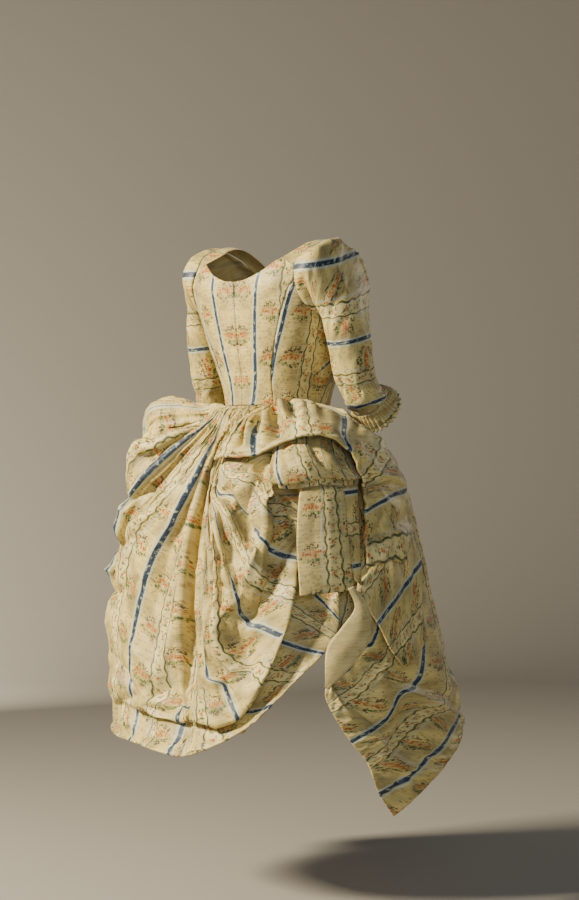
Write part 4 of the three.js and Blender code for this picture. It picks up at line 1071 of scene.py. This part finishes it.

# %% [markdown]
# The pleats need more points than any hand table could hold, so the net is first filled
# with even rows and columns.  Then the cloth between two valleys is folded up as far as
# the room between them asks.  Fine pleats belong to the waist, and broad folds to the
# round of the puff.

# %% Skirt back: creases listed one by one
BACK_CREASES = [
    # across, down, across, down, width on each side, height
    (-262, 40, -252, 110, 9, 12, -10),     # under the top puff
    (-252, 110, -230, 175, 10, 16, -14),
    (-230, 175, -262, 262, 12, 12, -10),
    (-224, 44, -200, 105, 8, 9, -10),      # the second pleat of the fan
    (-200, 105, -174, 160, 9, 11, -14),
    (-174, 160, -208, 228, 11, 13, -13),
    (-116, 80, -122, 165, 8, 12, -14),     # the strong fold beside the blue stripe
    (-122, 165, -119, 250, 9, 14, -18),
    (-119, 250, -140, 318, 12, 14, -15),
    (-150, 110, -148, 280, 9, 9, 7),
    (-95, 150, -108, 330, 16, 18, -7),
    (-60, 150, -88, 350, 12, 22, -6),
    (-180, 330, -140, 380, 16, 14, 7),
    (-78, 60, -72, 112, 6, 7, -8),
    (-52, 290, -40, 350, 6, 10, -12),      # the short dent
    (-70, 120, -62, 260, 16, 20, 7),
    (-8, 120, -8, 420, 16, 9, 8),          # the ridge under the long blue stripe
    (30, 100, 42, 200, 9, 18, -6),         # the soft fold beside it
    (42, 200, 56, 330, 10, 24, -7),
    (56, 330, 70, 520, 12, 26, -6),
    (94, 160, 94, 600, 10, 5, -6),
    (120, 150, 119, 600, 6, 6, 7),         # the narrow ridge at the centre back
    (-235, 60, -268, 182, 13, 11, -12),    # the notches and bulges of the left puffs
    (-268, 182, -305, 310, 14, 14, -15),
    (-205, 90, -228, 205, 20, 18, 10),
    (-228, 205, -262, 330, 22, 20, 13),
    (-150, 300, -230, 326, 12, 12, -15),
    (-120, 452, -205, 474, 9, 10, 14),
    (-125, 300, -195, 352, 18, 18, 8),
    (-60, 372, -140, 405, 13, 13, -15),
    (-140, 405, -250, 436, 14, 14, -19),
    (-20, 430, -75, 486, 13, 11, -10),
    (-75, 486, -180, 506, 11, 12, -19),
    (-180, 506, -270, 530, 13, 13, -15),
    (-100, 545, -230, 600, 26, 26, 8),
    (-350, 200, -340, 420, 16, 12, -13),   # the same on the hidden left side
    (-385, 260, -400, 430, 18, 18, 8),
    (-400, 455, -300, 480, 14, 14, -11),
    (-410, 590, -290, 560, 16, 14, -10),
    (-104, 640, -17, 618, 14, 10, -9),     # folds where the cloth turns under
    (-17, 618, 30, 644, 10, 10, -8),
    (-170, 668, -80, 662, 12, 16, -9),
    (-84, 728, -10, 676, 10, 16, -10),
    (-10, 676, 26, 644, 9, 12, -9),
    (-60, 700, -160, 760, 16, 18, 6),
    (47, 662, 88, 672, 9, 12, -9),
    (60, 640, 92, 612, 9, 9, -8),
    (10, 700, 30, 790, 12, 16, -6),
    (-300, 640, -190, 668, 14, 10, -9),
    (-130, 690, -40, 668, 16, 16, 8),
    (-70, 760, 10, 740, 16, 18, 7),
    (40, 690, 70, 760, 12, 14, -8),
    (-10, 560, 70, 600, 24, 16, 5),
    (-210, 560, -150, 640, 20, 16, -6),
    (372, 190, 396, 310, 8, 10, -9),       # small folds at the left of the right puff
    (362, 310, 404, 440, 6, 7, -7),
    (392, 372, 560, 425, 7, 8, -8),
    (830, 140, 760, 225, 12, 14, -14),     # the dark hollow under the swag
    (760, 225, 722, 290, 15, 18, -20),
    (722, 290, 735, 372, 14, 16, -18),
    (648, 200, 560, 300, 26, 26, 8),
    (815, 230, 790, 300, 12, 12, 11),      # the loop that comes down from the roll
    (790, 300, 702, 388, 13, 13, 14),
    (702, 388, 640, 430, 12, 14, 12),
    (640, 430, 505, 482, 14, 14, 9),
    (862, 300, 775, 400, 14, 15, -15),
    (775, 400, 700, 446, 14, 16, -14),
    (600, 335, 640, 400, 18, 14, -14),
    (480, 345, 600, 372, 14, 16, -7),
    (548, 470, 600, 488, 12, 15, -14),
    (600, 488, 668, 462, 13, 15, -17),
    (668, 462, 720, 450, 12, 14, -9),
    (560, 500, 520, 575, 12, 13, -13),
    (486, 470, 496, 560, 18, 14, 8),
    (384, 545, 462, 586, 12, 16, -9),
    (375, 602, 470, 592, 9, 9, 6),
    (432, 610, 440, 662, 8, 9, -7),
    (400, 612, 405, 655, 8, 8, -6),
    (350, 600, 352, 640, 9, 9, -6),
    (512, 596, 486, 640, 10, 10, -7),
    (860, 420, 800, 520, 16, 14, -6),
]
print("skirt back:", len(BACK_CREASES), "creases laid by hand")

# %% Skirt back: pleats and creases
LEFT_FINE = [-420, -392, -365, -340, -316, -294, -275, -258, -240, -222, -200, -180, -158, -138,
             -118, -100, -78, -58, -40, -20, 14, 34, 50, 68, 86, 104, 135, 165]
LEFT_BROAD = [-420, -340, -250, -180, -120, -55, 30, 88, 165]
RIGHT_FINE = [250, 292, 320, 352, 385, 420, 460, 505, 550, 600, 650, 700, 750, 800, 845, 890, 930]
RIGHT_BROAD = [250, 292, 430, 520, 610, 700, 830, 930]


def taken_up(across, stripe):
    """Cloth taken up in a fold: the stripe that lies in its depth hardly shows."""
    return 10 * np.tanh((across - stripe) / 3) * np.exp(-(((across - stripe) / 22) ** 2))


def even_across(cloth, ats, valleys):
    """Cloth coordinates that run evenly over each pleat, from valley to valley."""
    steps = np.linalg.norm(np.diff(cloth, axis=0), axis=2)
    arc = np.concatenate([np.zeros((1, cloth.shape[1])), np.cumsum(steps, axis=0)])
    marks = np.clip(np.searchsorted(ats, valleys), 0, len(ats) - 1)
    return np.stack([np.interp(arc[:, j], arc[marks, j], ats[marks])
                     for j in range(cloth.shape[1])], 1)


def skirt_back(net, fine_valleys, fine_ends, broad_valleys, seam_at, seed):
    """Half of the skirt back; fine_ends are the rows between which the fine pleats fade."""
    ats, downs, base, v = filled(net)
    row = np.broadcast_to(downs, v.shape)
    open_cloth = ramp(abs(ats - seam_at), 2, 34)[:, None]
    # beside the centre back the fine pleats end sooner
    ends = fine_ends[1] - ramp(ats, 20, 60)[:, None] * max(0, fine_ends[1] - 2.0)
    fine_share = open_cloth * ramp(v, 2, 26) * (1 - ramp(row / ends, fine_ends[0], 1))
    broad_share = open_cloth * ramp(row, 1.2, 2.8) * (1 - ramp(row, 4.2, 5.8))
    cloth = gathered(base, ats, v, fine_valleys, fine_share, least=1.35, most=1.6, wander=5,
                     seed=seed)
    cloth = gathered(cloth, ats, v, broad_valleys, broad_share, least=0.45, most=0.6,
                     wander=12, seed=seed + 1)
    height = creases(BACK_CREASES, ats[:, None], v)
    from_hem = v[:, -1:] - v
    height = height + (2.6 * crumple(ats[:, None], v, 55, 31, stretch=1.8, turn=0.3)
                       + 1.2 * crumple(ats[:, None], v, 21, 37)) * ramp(row, 1.0, 2.4)
    height = height * (0.25 + 0.75 * ramp(from_hem, 2, 34))
    cloth = raise_by(cloth, height * open_cloth * ramp(v, 2, 30))
    # the two parts meet on one line, the seam
    cloth = cloth + (base - cloth) * (1 - ramp(abs(ats - seam_at), 0, 20)[:, None, None])
    cloth = settled(cloth, np.maximum(held_edges(cloth), 1 - ramp(v, 5, 60)), grow=0.07,
                    soft=0.08, most=10)
    cloth, v = with_lip(cloth, v)
    return cloth, even_across(cloth, ats, fine_valleys), v


def tucked_left(across, along):
    """The blue stripe beside the seam lies out of sight in the fold."""
    return (across - 0.6 * np.maximum(0, across - 120)
            + 46 * ramp(across, 20, 90) * ramp(along, 630, 676))


def tucked_right(across, along):
    """Stripes that lie in the folds at the waist, or turn and start inside a fold."""
    across = across + 44 * (1 - ramp(across, 285, 520)) - 0.8 * np.maximum(0, across - 850)
    # the third stripe turns at the fold above the tuck
    across = across + 34 * (1 - ramp(along, 588, 612)) * ramp(across, 320, 370) * (
        1 - ramp(across, 430, 620))
    return (across + taken_up(across, 584) * (1 - ramp(along, 380, 430))
            + taken_up(across, 438) * (1 - ramp(along, 556, 572))
            - 0.65 * (across - 730) * np.exp(-(((across - 730) / 16) ** 2))
            * (1 - ramp(along, 240, 300)))


for title, net, fine_valleys, fine_ends, broad_valleys, seam_at, tucked, flat, area in (
        ("left", BACK_LEFT, LEFT_FINE, (0.4, 3.9), LEFT_BROAD, SEAM_UNDER_FOLD[0],
         tucked_left, (0.59, 1.05), 0.55),
        ("right", BACK_RIGHT, RIGHT_FINE, (0.3, 1.2), RIGHT_BROAD, SEAM_UNDER_FOLD[1],
         tucked_right, (0.68, 0.90), 0.44)):
    cloth, across, along = skirt_back(net, fine_valleys, fine_ends, broad_valleys, seam_at, 21)
    cloth_piece("skirt_back_" + title, cloth, tucked(across, along), along, flat,
                area)

# %% [markdown]
# ## The fronts of the skirt
# The skirt is open in front.  The right front is long, and its corner is swung round
# towards the back.  The left front hangs straighter, under the drawn-up back.

# %% Nets of the fronts
SKIRT_FRONT = skirt_net([
    # across (0 is the front edge), waist, then shelf, hip, thigh, knee, bend, swing, low, hem
    (-450, 83, (83, 152, -364), (80, 200, -440), (75, 235, -560), (69, 262, -640),
     (65, 280, -690), (63, 292, -725), (62, 304, -752), (61, 318, -782)),
    (-390, 86, (87, 158, -362), (86, 206, -435), (84, 252, -545), (78, 292, -640),
     (73, 305, -700), (69, 320, -748), (66, 330, -785), (63, 344, -822)),
    (-325, 90, (93, 160, -362), (92, 208, -430), (91, 258, -540), (88, 304, -670),
     (77, 340, -785), (72, 347, -802), (65, 352, -840), (57, 354, -880)),
    (-250, 97, (100, 160, -362), (100, 210, -425), (99, 262, -535), (97, 312, -690),
     (82, 350, -822), (75, 357, -846), (67, 361, -884), (58, 362, -920)),
    (-178, 107, (109, 160, -364), (111, 214, -425), (112, 266, -525), (108, 320, -715),
     (95, 362, -868), (84, 366, -896), (78, 371, -940), (64, 375, -985)),
    (-105, 120, (120, 164, -370), (124, 222, -432), (124, 274, -525), (125, 328, -740),
     (114, 374, -914), (92, 374, -940), (79, 378, -986), (69, 384, -1030)),
    (-32, 132, (131, 168, -374), (134, 226, -438), (135, 270, -525), (135, 322, -740),
     (131, 370, -925), (110, 383, -985), (90, 388, -1032), (72, 390, -1087)),
    (0, 139, (138, 168, -376), (140, 224, -440), (142, 264, -525), (144, 312, -740),
     (139, 362, -935), (116, 388, -1005), (97, 390, -1062), (77, 392, -1133)),
])
LEFT_FRONT = skirt_net([
    (-330, 70, (72, 146, -360), (76, 190, -440), (80, 232, -550), (84, 272, -690),
     (86, 300, -830), (86, 312, -900), (86, 318, -940), (85, 326, -985)),
    (-250, 84, (86, 152, -364), (88, 200, -440), (90, 245, -550), (92, 290, -700),
     (93, 312, -850), (93, 322, -915), (92, 336, -955), (90, 342, -1002)),
    (-170, 100, (102, 158, -366), (104, 210, -435), (106, 258, -545), (108, 306, -715),
     (108, 342, -870), (106, 350, -930), (104, 355, -975), (101, 360, -1024)),
    (-85, 120, (121, 164, -370), (124, 220, -436), (126, 268, -540), (128, 318, -730),
     (127, 352, -885), (122, 362, -945), (118, 368, -994), (113, 372, -1044)),
    (0, 139, (138, 168, -376), (140, 224, -442), (142, 262, -540), (144, 308, -730),
     (141, 345, -890), (136, 358, -950), (131, 366, -1006), (125, 372, -1062)),
])
FRONT_VALLEYS = [-450, -400, -345, -290, -232, -180, -126, -70, -30, 0]
LEFT_VALLEYS = [-330, -285, -232, -180, -126, -70, -30, 0]
FRONT_CREASES = [
    (-225, 615, -190, 645, 12, 16, -9),    # the tuck across the long corner
    (-190, 645, -150, 662, 12, 18, -11),
    (-150, 662, -68, 708, 12, 20, -11),
    (-68, 708, -10, 740, 12, 18, -8),
    (-180, 690, -60, 765, 22, 20, 7),
    (-252, 600, -200, 735, 14, 14, 8),
    (-150, 150, -120, 520, 18, 22, -7),
    (-75, 160, -58, 600, 20, 18, -7),
    (-110, 180, -92, 560, 22, 22, 6),
    (-300, 150, -280, 420, 18, 20, -7),
    (-370, 130, -350, 380, 18, 18, -7),
    (-170, 775, -60, 965, 18, 22, -7),
    (-120, 760, -25, 1000, 20, 20, 6),
    (-60, 800, -14, 960, 16, 16, -5),
]
LEFT_CREASES = [
    (-290, 130, -260, 620, 18, 22, -7),
    (-200, 120, -190, 500, 20, 18, -8),
    (-240, 140, -220, 560, 22, 20, 6),
    (-120, 150, -110, 760, 18, 22, -8),
    (-60, 140, -60, 640, 20, 18, -6),
    (-160, 500, -150, 900, 22, 24, -6),
    (-90, 560, -85, 900, 20, 20, 5),
]


def skirt_front(net, valleys, hand_creases, seed):
    """A front of the skirt, pleated at the waist and loose below the hip."""
    ats, downs, base, v = filled(net)
    row = np.broadcast_to(downs, v.shape)
    share = ramp(v, 2, 26) * (1 - ramp(row, 2.0, 4.5))
    cloth = gathered(base, ats, v, valleys, share, least=0.7, most=1.2, wander=8, seed=seed)
    height = 2.0 * crumple(ats[:, None], v, 60, seed + 1, stretch=2.0, turn=0.2) * ramp(row, 1, 3)
    height = height + creases(hand_creases, ats[:, None], v)
    cloth = raise_by(cloth, height)
    cloth, v = with_lip(settled(cloth, held_edges(cloth), grow=0.07, soft=0.08, most=11), v)
    return cloth, ats[:, None], v


FRONT_STRIPE = 32                      # how far the pattern starts inside the front edge
for side_name, net, valleys, hand_creases, seed, flat, area in (
        ("right", SKIRT_FRONT, FRONT_VALLEYS, FRONT_CREASES, 41, (0.46, 1.02), 0.40),
        ("left", LEFT_FRONT, LEFT_VALLEYS, LEFT_CREASES, 51, (0.34, 0.88), 0.25)):
    cloth, across, along = skirt_front(net, valleys, hand_creases, seed)
    cloth_piece("skirt_front_" + side_name, cloth, across + FRONT_STRIPE, along, flat,
                area, mirror=side_name == "left")

# %% [markdown]
# ## Swag, roll and hanging ends
# Over the right hip the cloth makes an arch, the swag.  Under it a roll of cloth is
# pulled out of the pocket slit, and two ends hang from the roll.  The side of the skirt
# is laid over the front, and a turned edge shows the plain reverse.

# %% Nets of the swag, the roll and the ends
SWAG = skirt_net([
    # across, waist, then shelf, crest, face, edge
    (-120, 20, (14, 138, -340), (7, 162, -368), (5, 194, -402), (6, 226, -436)),
    (-73, 26, (20, 142, -342), (14, 168, -358), (11, 204, -398), (12, 236, -430)),
    (0, 37, (32, 150, -332), (28, 190, -350), (28, 236, -396), (30, 254, -427)),
    (40, 45, (41, 150, -322), (40, 188, -326), (43, 240, -368), (43, 268, -402)),
    (73, 52, (53, 150, -318), (54, 190, -318), (52, 250, -352), (52, 285, -388)),
    (110, 59, (62, 155, -320), (64, 200, -324), (62, 262, -358), (61, 292, -388)),
    (146, 65, (72, 165, -326), (78, 215, -350), (70, 275, -384), (70, 298, -418)),
    (190, 71, (80, 175, -334), (88, 240, -374), (80, 287, -410), (74, 300, -452)),
    (219, 75, (86, 176, -350), (98, 250, -400), (86, 292, -450), (77, 303, -484)),
    (292, 78, (89, 176, -348), (114, 270, -478), (92, 298, -510), (77, 304, -540)),
    (350, 80, (90, 192, -360), (104, 300, -560), (90, 314, -585), (76, 314, -602)),
    (380, 81.5, (89, 198, -364), (94, 316, -620), (85, 324, -640), (75, 324, -652)),
])
ROLL = cloth_net([
    # across, then back, top, front, bottom, under, tail
    (-30, (39, 222, -415.6), (39, 258, -430), (38, 298, -462), (39, 302, -486), (41, 290, -484),
     (42, 285, -494)),
    (0, (42, 227, -388), (41, 264, -426), (41, 305, -456), (43, 310, -487), (44, 296, -483),
     (45, 292, -495)),
    (40, (48, 230, -380), (46, 270, -415), (46, 312, -446), (49, 316, -486), (50, 302, -481),
     (50, 300, -494)),
    (73, (54, 232, -374), (51, 274, -409), (52, 315, -441), (55, 318, -477), (55, 304, -474),
     (55, 302, -490)),
    (105, (60, 232, -374), (57, 276, -410), (57, 312, -442), (60, 316, -472), (60, 304, -470),
     (60, 302, -488)),
    (135, (66, 232, -380), (64, 274, -422), (64, 306, -449), (65, 314, -477), (65, 303, -474),
     (65, 301, -489)),
    (160, (72, 230, -392), (70, 268, -436), (69, 298, -458), (71, 306, -477), (71, 297, -473),
     (71, 295, -489)),
    (185, (78, 226, -410), (77, 256, -448), (76, 280, -466), (76, 288, -475), (76, 283, -474),
     (76, 282, -487)),
])
LONG_STRIP = cloth_net([
    # across, then top, high, low, end
    (0, (50.5, 301, -495), (49, 314, -515), (48, 324, -600), (49, 330, -702)),
    (33, (55.5, 303, -491), (55, 318, -510), (54, 327, -600), (55, 332, -700)),
    (66, (60.5, 302, -489), (60, 318, -506), (61, 327, -598), (62, 332, -696)),
    (92, (65, 301, -490.5), (66, 315, -504), (67, 322, -596), (69, 328, -692)),
])
SHORT_STRIP = cloth_net([
    (0, (66.5, 299, -490.5), (66, 302, -505), (67, 308, -600), (69, 319, -672)),
    (25, (70.5, 295.5, -490), (70, 303, -505), (70.5, 308, -600), (71, 322, -680)),
    (50, (74.5, 285.5, -488.6), (74, 293, -503), (74, 300, -598), (72.5, 319, -684)),
])
SKIRT_SIDE = cloth_net([
    # across, then edge, upper, face, lower, hem
    (-75, (117, 249, -470), (105, 266, -505), (92, 275, -560), (82, 299, -615), (74, 307, -655)),
    (-30, (114, 274, -515), (103, 281, -540), (91, 289, -595), (80, 306, -645), (72, 310.6, -685)),
    (0, (112, 288, -546), (101, 294, -568), (89, 302, -615), (79, 318, -662), (70.5, 328, -702)),
    (73, (106, 318, -644), (98, 328, -668), (90, 336, -694), (82, 342, -728), (76, 348, -760)),
    (146, (100, 338, -735), (96, 344, -752), (90, 350, -772), (85, 356, -792), (80, 360, -812)),
    (190, (100, 350, -800), (97, 354, -810), (93, 360, -822), (88, 366, -834), (84, 370, -845)),
])
TURNED_EDGE = cloth_net([
    # across, then top, high, mid, low, tip
    (0, (65, 343, -690), (67, 348, -728), (62, 352, -766), (57, 356, -806), (56.5, 355.8, -878)),
    (22, (66, 345, -688), (69, 352, -722), (68, 360, -768), (61, 366, -818), (57, 356.3, -880)),
    (44, (67, 343, -686), (71, 350, -720), (73, 358, -770), (66, 368, -830), (57.5, 356.8, -882)),
])
print("nets of the swag, roll, strips, side and turned edge are ready")

# %% The swag
swag_ats, _, base, swag_v = filled(SWAG)
SWAG_VALLEYS = [-120, -104, -88, -62, -32, 6, 31, 58, 84, 110, 138, 166, 196, 228, 262, 300,
                340, 380]
share = ramp(swag_v, 1, 14) * (1 - 0.75 * ramp(swag_v / swag_v[:, -1:], 0.15, 0.75))
swag = gathered(base, swag_ats, swag_v, SWAG_VALLEYS, share, least=1.0, most=1.5, wander=6,
                seed=61)
swag_grid = swag_ats[:, None]
SWAG_CREASES = [
    (-104, 30, -98, 100, 8, 8, -7),
    (-84, 40, -86, 120, 8, 8, -6),
    (-62, 44, -66, 135, 8, 9, 7),
    (-14, 44, -34, 88, 9, 10, -20),        # the curved hollow
    (-34, 88, -30, 146, 9, 10, -22),
    (-12, 80, -12, 150, 7, 6, 12),
    (2, 40, 5, 118, 9, 8, -19),
    (5, 118, 3, 168, 7, 7, -11),
    (18, 70, 15, 126, 8, 7, 13),
    (15, 126, 14, 172, 8, 7, 11),
    (31, 50, 33, 118, 9, 9, -25),          # the dark hollow beside the bright ridge
    (33, 118, 30, 172, 9, 8, -20),
    (44, 50, 46, 116, 6, 6, 14),
    (59, 70, 59, 146, 8, 9, -16),
    (72, 84, 76, 160, 9, 10, 7),
    (110, 60, 122, 170, 10, 12, -4),
    (76, 92, 148, 124, 10, 14, 5),         # the crest
    (148, 124, 212, 182, 10, 14, 6),
    (212, 182, 268, 308, 10, 14, 6),
    (180, 200, 262, 400, 16, 14, -9),
    (300, 200, 330, 400, 16, 16, -9),
    (310, 440, 352, 506, 13, 12, -12),
    (330, 440, 376, 480, 10, 10, 11),
]
height = 1.5 * crumple(swag_grid, swag_v, 42, 63) * ramp(swag_v, 2, 30)
height = height + creases(SWAG_CREASES, swag_grid, swag_v)
swag = raise_by(swag, height)
swag = settled(swag, held_edges(swag), most=4)
swag, swag_v = with_lip(swag, swag_v, radius=3, back=14)
swag_u = swag_grid + taken_up(swag_grid, 0) * (1 - ramp(swag_v, 96, 122))
cloth_piece("skirt_swag_right", swag, swag_u, swag_v, (0.50, 0.45),
            0.15)

# %% The roll, the ends, the side and the turned edge
def plain_net(net, size, seed, depth, hand_creases=()):
    """A piece without pleats; its crumples are size long and depth high."""
    ats, _, base, v = filled(net)
    edge = np.minimum(v, v[:, -1:] - v)
    height = depth * crumple(ats[:, None], v, size, seed) * (0.35 + 0.65 * ramp(edge, 0, 18))
    height = height + creases(hand_creases, ats[:, None], v)
    cloth, v = with_lip(raise_by(base, height), v)
    return cloth, ats[:, None], v


ROLL_CREASES = [(90, 15, 110, 118, 8, 9, -8), (20, 20, 30, 120, 12, 12, -4),
                (60, 90, 70, 150, 10, 10, 4), (-22, 40, -10, 130, 8, 8, -5),
                (140, 20, 150, 110, 10, 10, -5)]
SIDE_CREASES = [(-60, 30, 150, 60, 12, 14, -6), (10, 95, 180, 110, 14, 16, -5),
                (-30, 130, 90, 160, 12, 12, 5), (-50, 60, -40, 180, 12, 12, 5),
                (60, 10, 170, 12, 8, 10, 4)]
STRIP_CREASES = [(30, 10, 34, 120, 10, 12, -2.5), (62, 60, 58, 200, 12, 10, 2.5)]
cloth, across, along = plain_net(ROLL, 42, 71, 1.6, ROLL_CREASES)
cloth_piece("skirt_roll_right", cloth, across + 65 * ramp(across, 110, 120), along, (0.23, 0.19),
            0.038)
cloth, across, along = plain_net(LONG_STRIP, 60, 73, 0.9, STRIP_CREASES)
cloth_piece("skirt_strip_long", cloth, across + 9, along, (0.094, 0.215))
cloth, across, along = plain_net(SHORT_STRIP, 50, 75, 0.9)
cloth_piece("skirt_strip_short", cloth, along + 130, across, (0.052, 0.20))
cloth, across, along = plain_net(SKIRT_SIDE, 60, 77, 2.0, SIDE_CREASES)
cloth_piece("skirt_side_right", cloth, across + 73, along, (0.37, 0.20),
            0.052)
cloth, across, along = plain_net(TURNED_EDGE, 50, 79, 0.8)
cloth_piece("skirt_turned_edge", cloth, across + 20, along, (0.05, 0.20),
            0.0085, face="silk_reverse")

# %% [markdown]
# ## Floor, light and camera
# The gown hovers as it was worn, over a plain pale floor that curves up into a backdrop
# all round.  Soft light comes from the left and the front.  A weak light behind edges the
# right side, and one more falls on the backdrop alone.

# %% Floor and backdrop
FLOOR_Z, FLOOR_RADIUS = -1.33, 4.0     # metres
SWEEP_OUT, SWEEP_UP = 2.4, 3.2         # the paper's curve from floor to backdrop
PROFILE = [(0.0, 0.0), (FLOOR_RADIUS, 0.0)] + [
    (FLOOR_RADIUS + SWEEP_OUT * np.sin(a), SWEEP_UP * (1 - np.cos(a)))
    for a in np.linspace(0, np.pi / 2, 13)[1:]]
spokes = 64
points = [(r * np.cos(a), r * np.sin(a), FLOOR_Z + h)
          for a in np.arange(spokes) * 2 * np.pi / spokes for r, h in PROFILE[1:]]
m = len(PROFILE) - 1
quads = [(k * m + j, (k + 1) % spokes * m + j, (k + 1) % spokes * m + j + 1, k * m + j + 1)
         for k in range(spokes) for j in range(m - 1)]
mesh = new_mesh("backdrop", points,
                [q[::-1] for q in quads] + [[k * m for k in range(spokes)]])
mesh.shade_smooth()
backdrop = new_object("backdrop", mesh)
paper = empty_material("Seamless background paper, matt")
add_node(paper.node_tree, "ShaderNodeOutputMaterial", (add_node(
    paper.node_tree, "ShaderNodeBsdfPrincipled",
    {"Base Color": srgb("#938e81"), "Roughness": 0.9, "Specular IOR Level": 0.1}),), None)
mesh.materials.append(paper)

# %% Light and camera
# the camera stands 42 degrees round from straight behind, on the wearer's right
SINE, COSINE = 0.669, 0.743
toward = Vector((-SINE, COSINE, 0.0))          # from the gown to the camera
right = Vector((-COSINE, -SINE, 0.0))
up = Vector((0, 0, 1))
middle = Vector((0, 0, -0.42))
CAMERA_FAR, CAMERA_ASIDE, LENS = 4.5, 0.020, 85.71


def soft_light(name, offset, size, power, colour, aim=(0, 0, 0)):
    """A square soft box; it and the point it faces are given from the middle of the gown."""
    data = bpy.data.lights.new(name, "AREA")
    data.size, data.energy, data.color = size, power, srgb(colour)[:3]
    lamp = new_object(name, data)
    lamp.location, faced = (middle + right * across + up * above + toward * near
                            for across, above, near in (offset, aim))
    lamp.rotation_euler = (faced - lamp.location).to_track_quat("-Z", "Y").to_euler()


soft_light("key", (-2.8, 1.8, 1.2), 0.7, 430, "#fff2dd")
soft_light("rim", (2.4, 1.1, -1.7), 0.6, 17, "#fff2dd")
soft_light("front", (0.4, 0.4, 3.6), 1.6, 46, "#d6e2ff")
soft_light("backdrop light", (-1.6, 0.4, -2.6), 1.2, 135, "#fff4e4", aim=(-3.4, 0.3, -5.6))
world = bpy.data.worlds.new("studio")
bpy.context.scene.world = world
world.use_nodes = True
world.node_tree.nodes["Background"].inputs[0].default_value = srgb("#a8bce4")
world.node_tree.nodes["Background"].inputs[1].default_value = 0.17

camera_data = bpy.data.cameras.new("camera")
camera_data.sensor_fit = "VERTICAL"
camera_data.sensor_height = 36
camera_data.lens = LENS
camera = new_object("camera", camera_data)
camera.location = middle + toward * CAMERA_FAR + right * CAMERA_ASIDE
camera.rotation_euler = (-toward).to_track_quat("-Z", "Y").to_euler()
bpy.context.scene.camera = camera
print("camera at", tuple(round(c, 2) for c in camera.location))
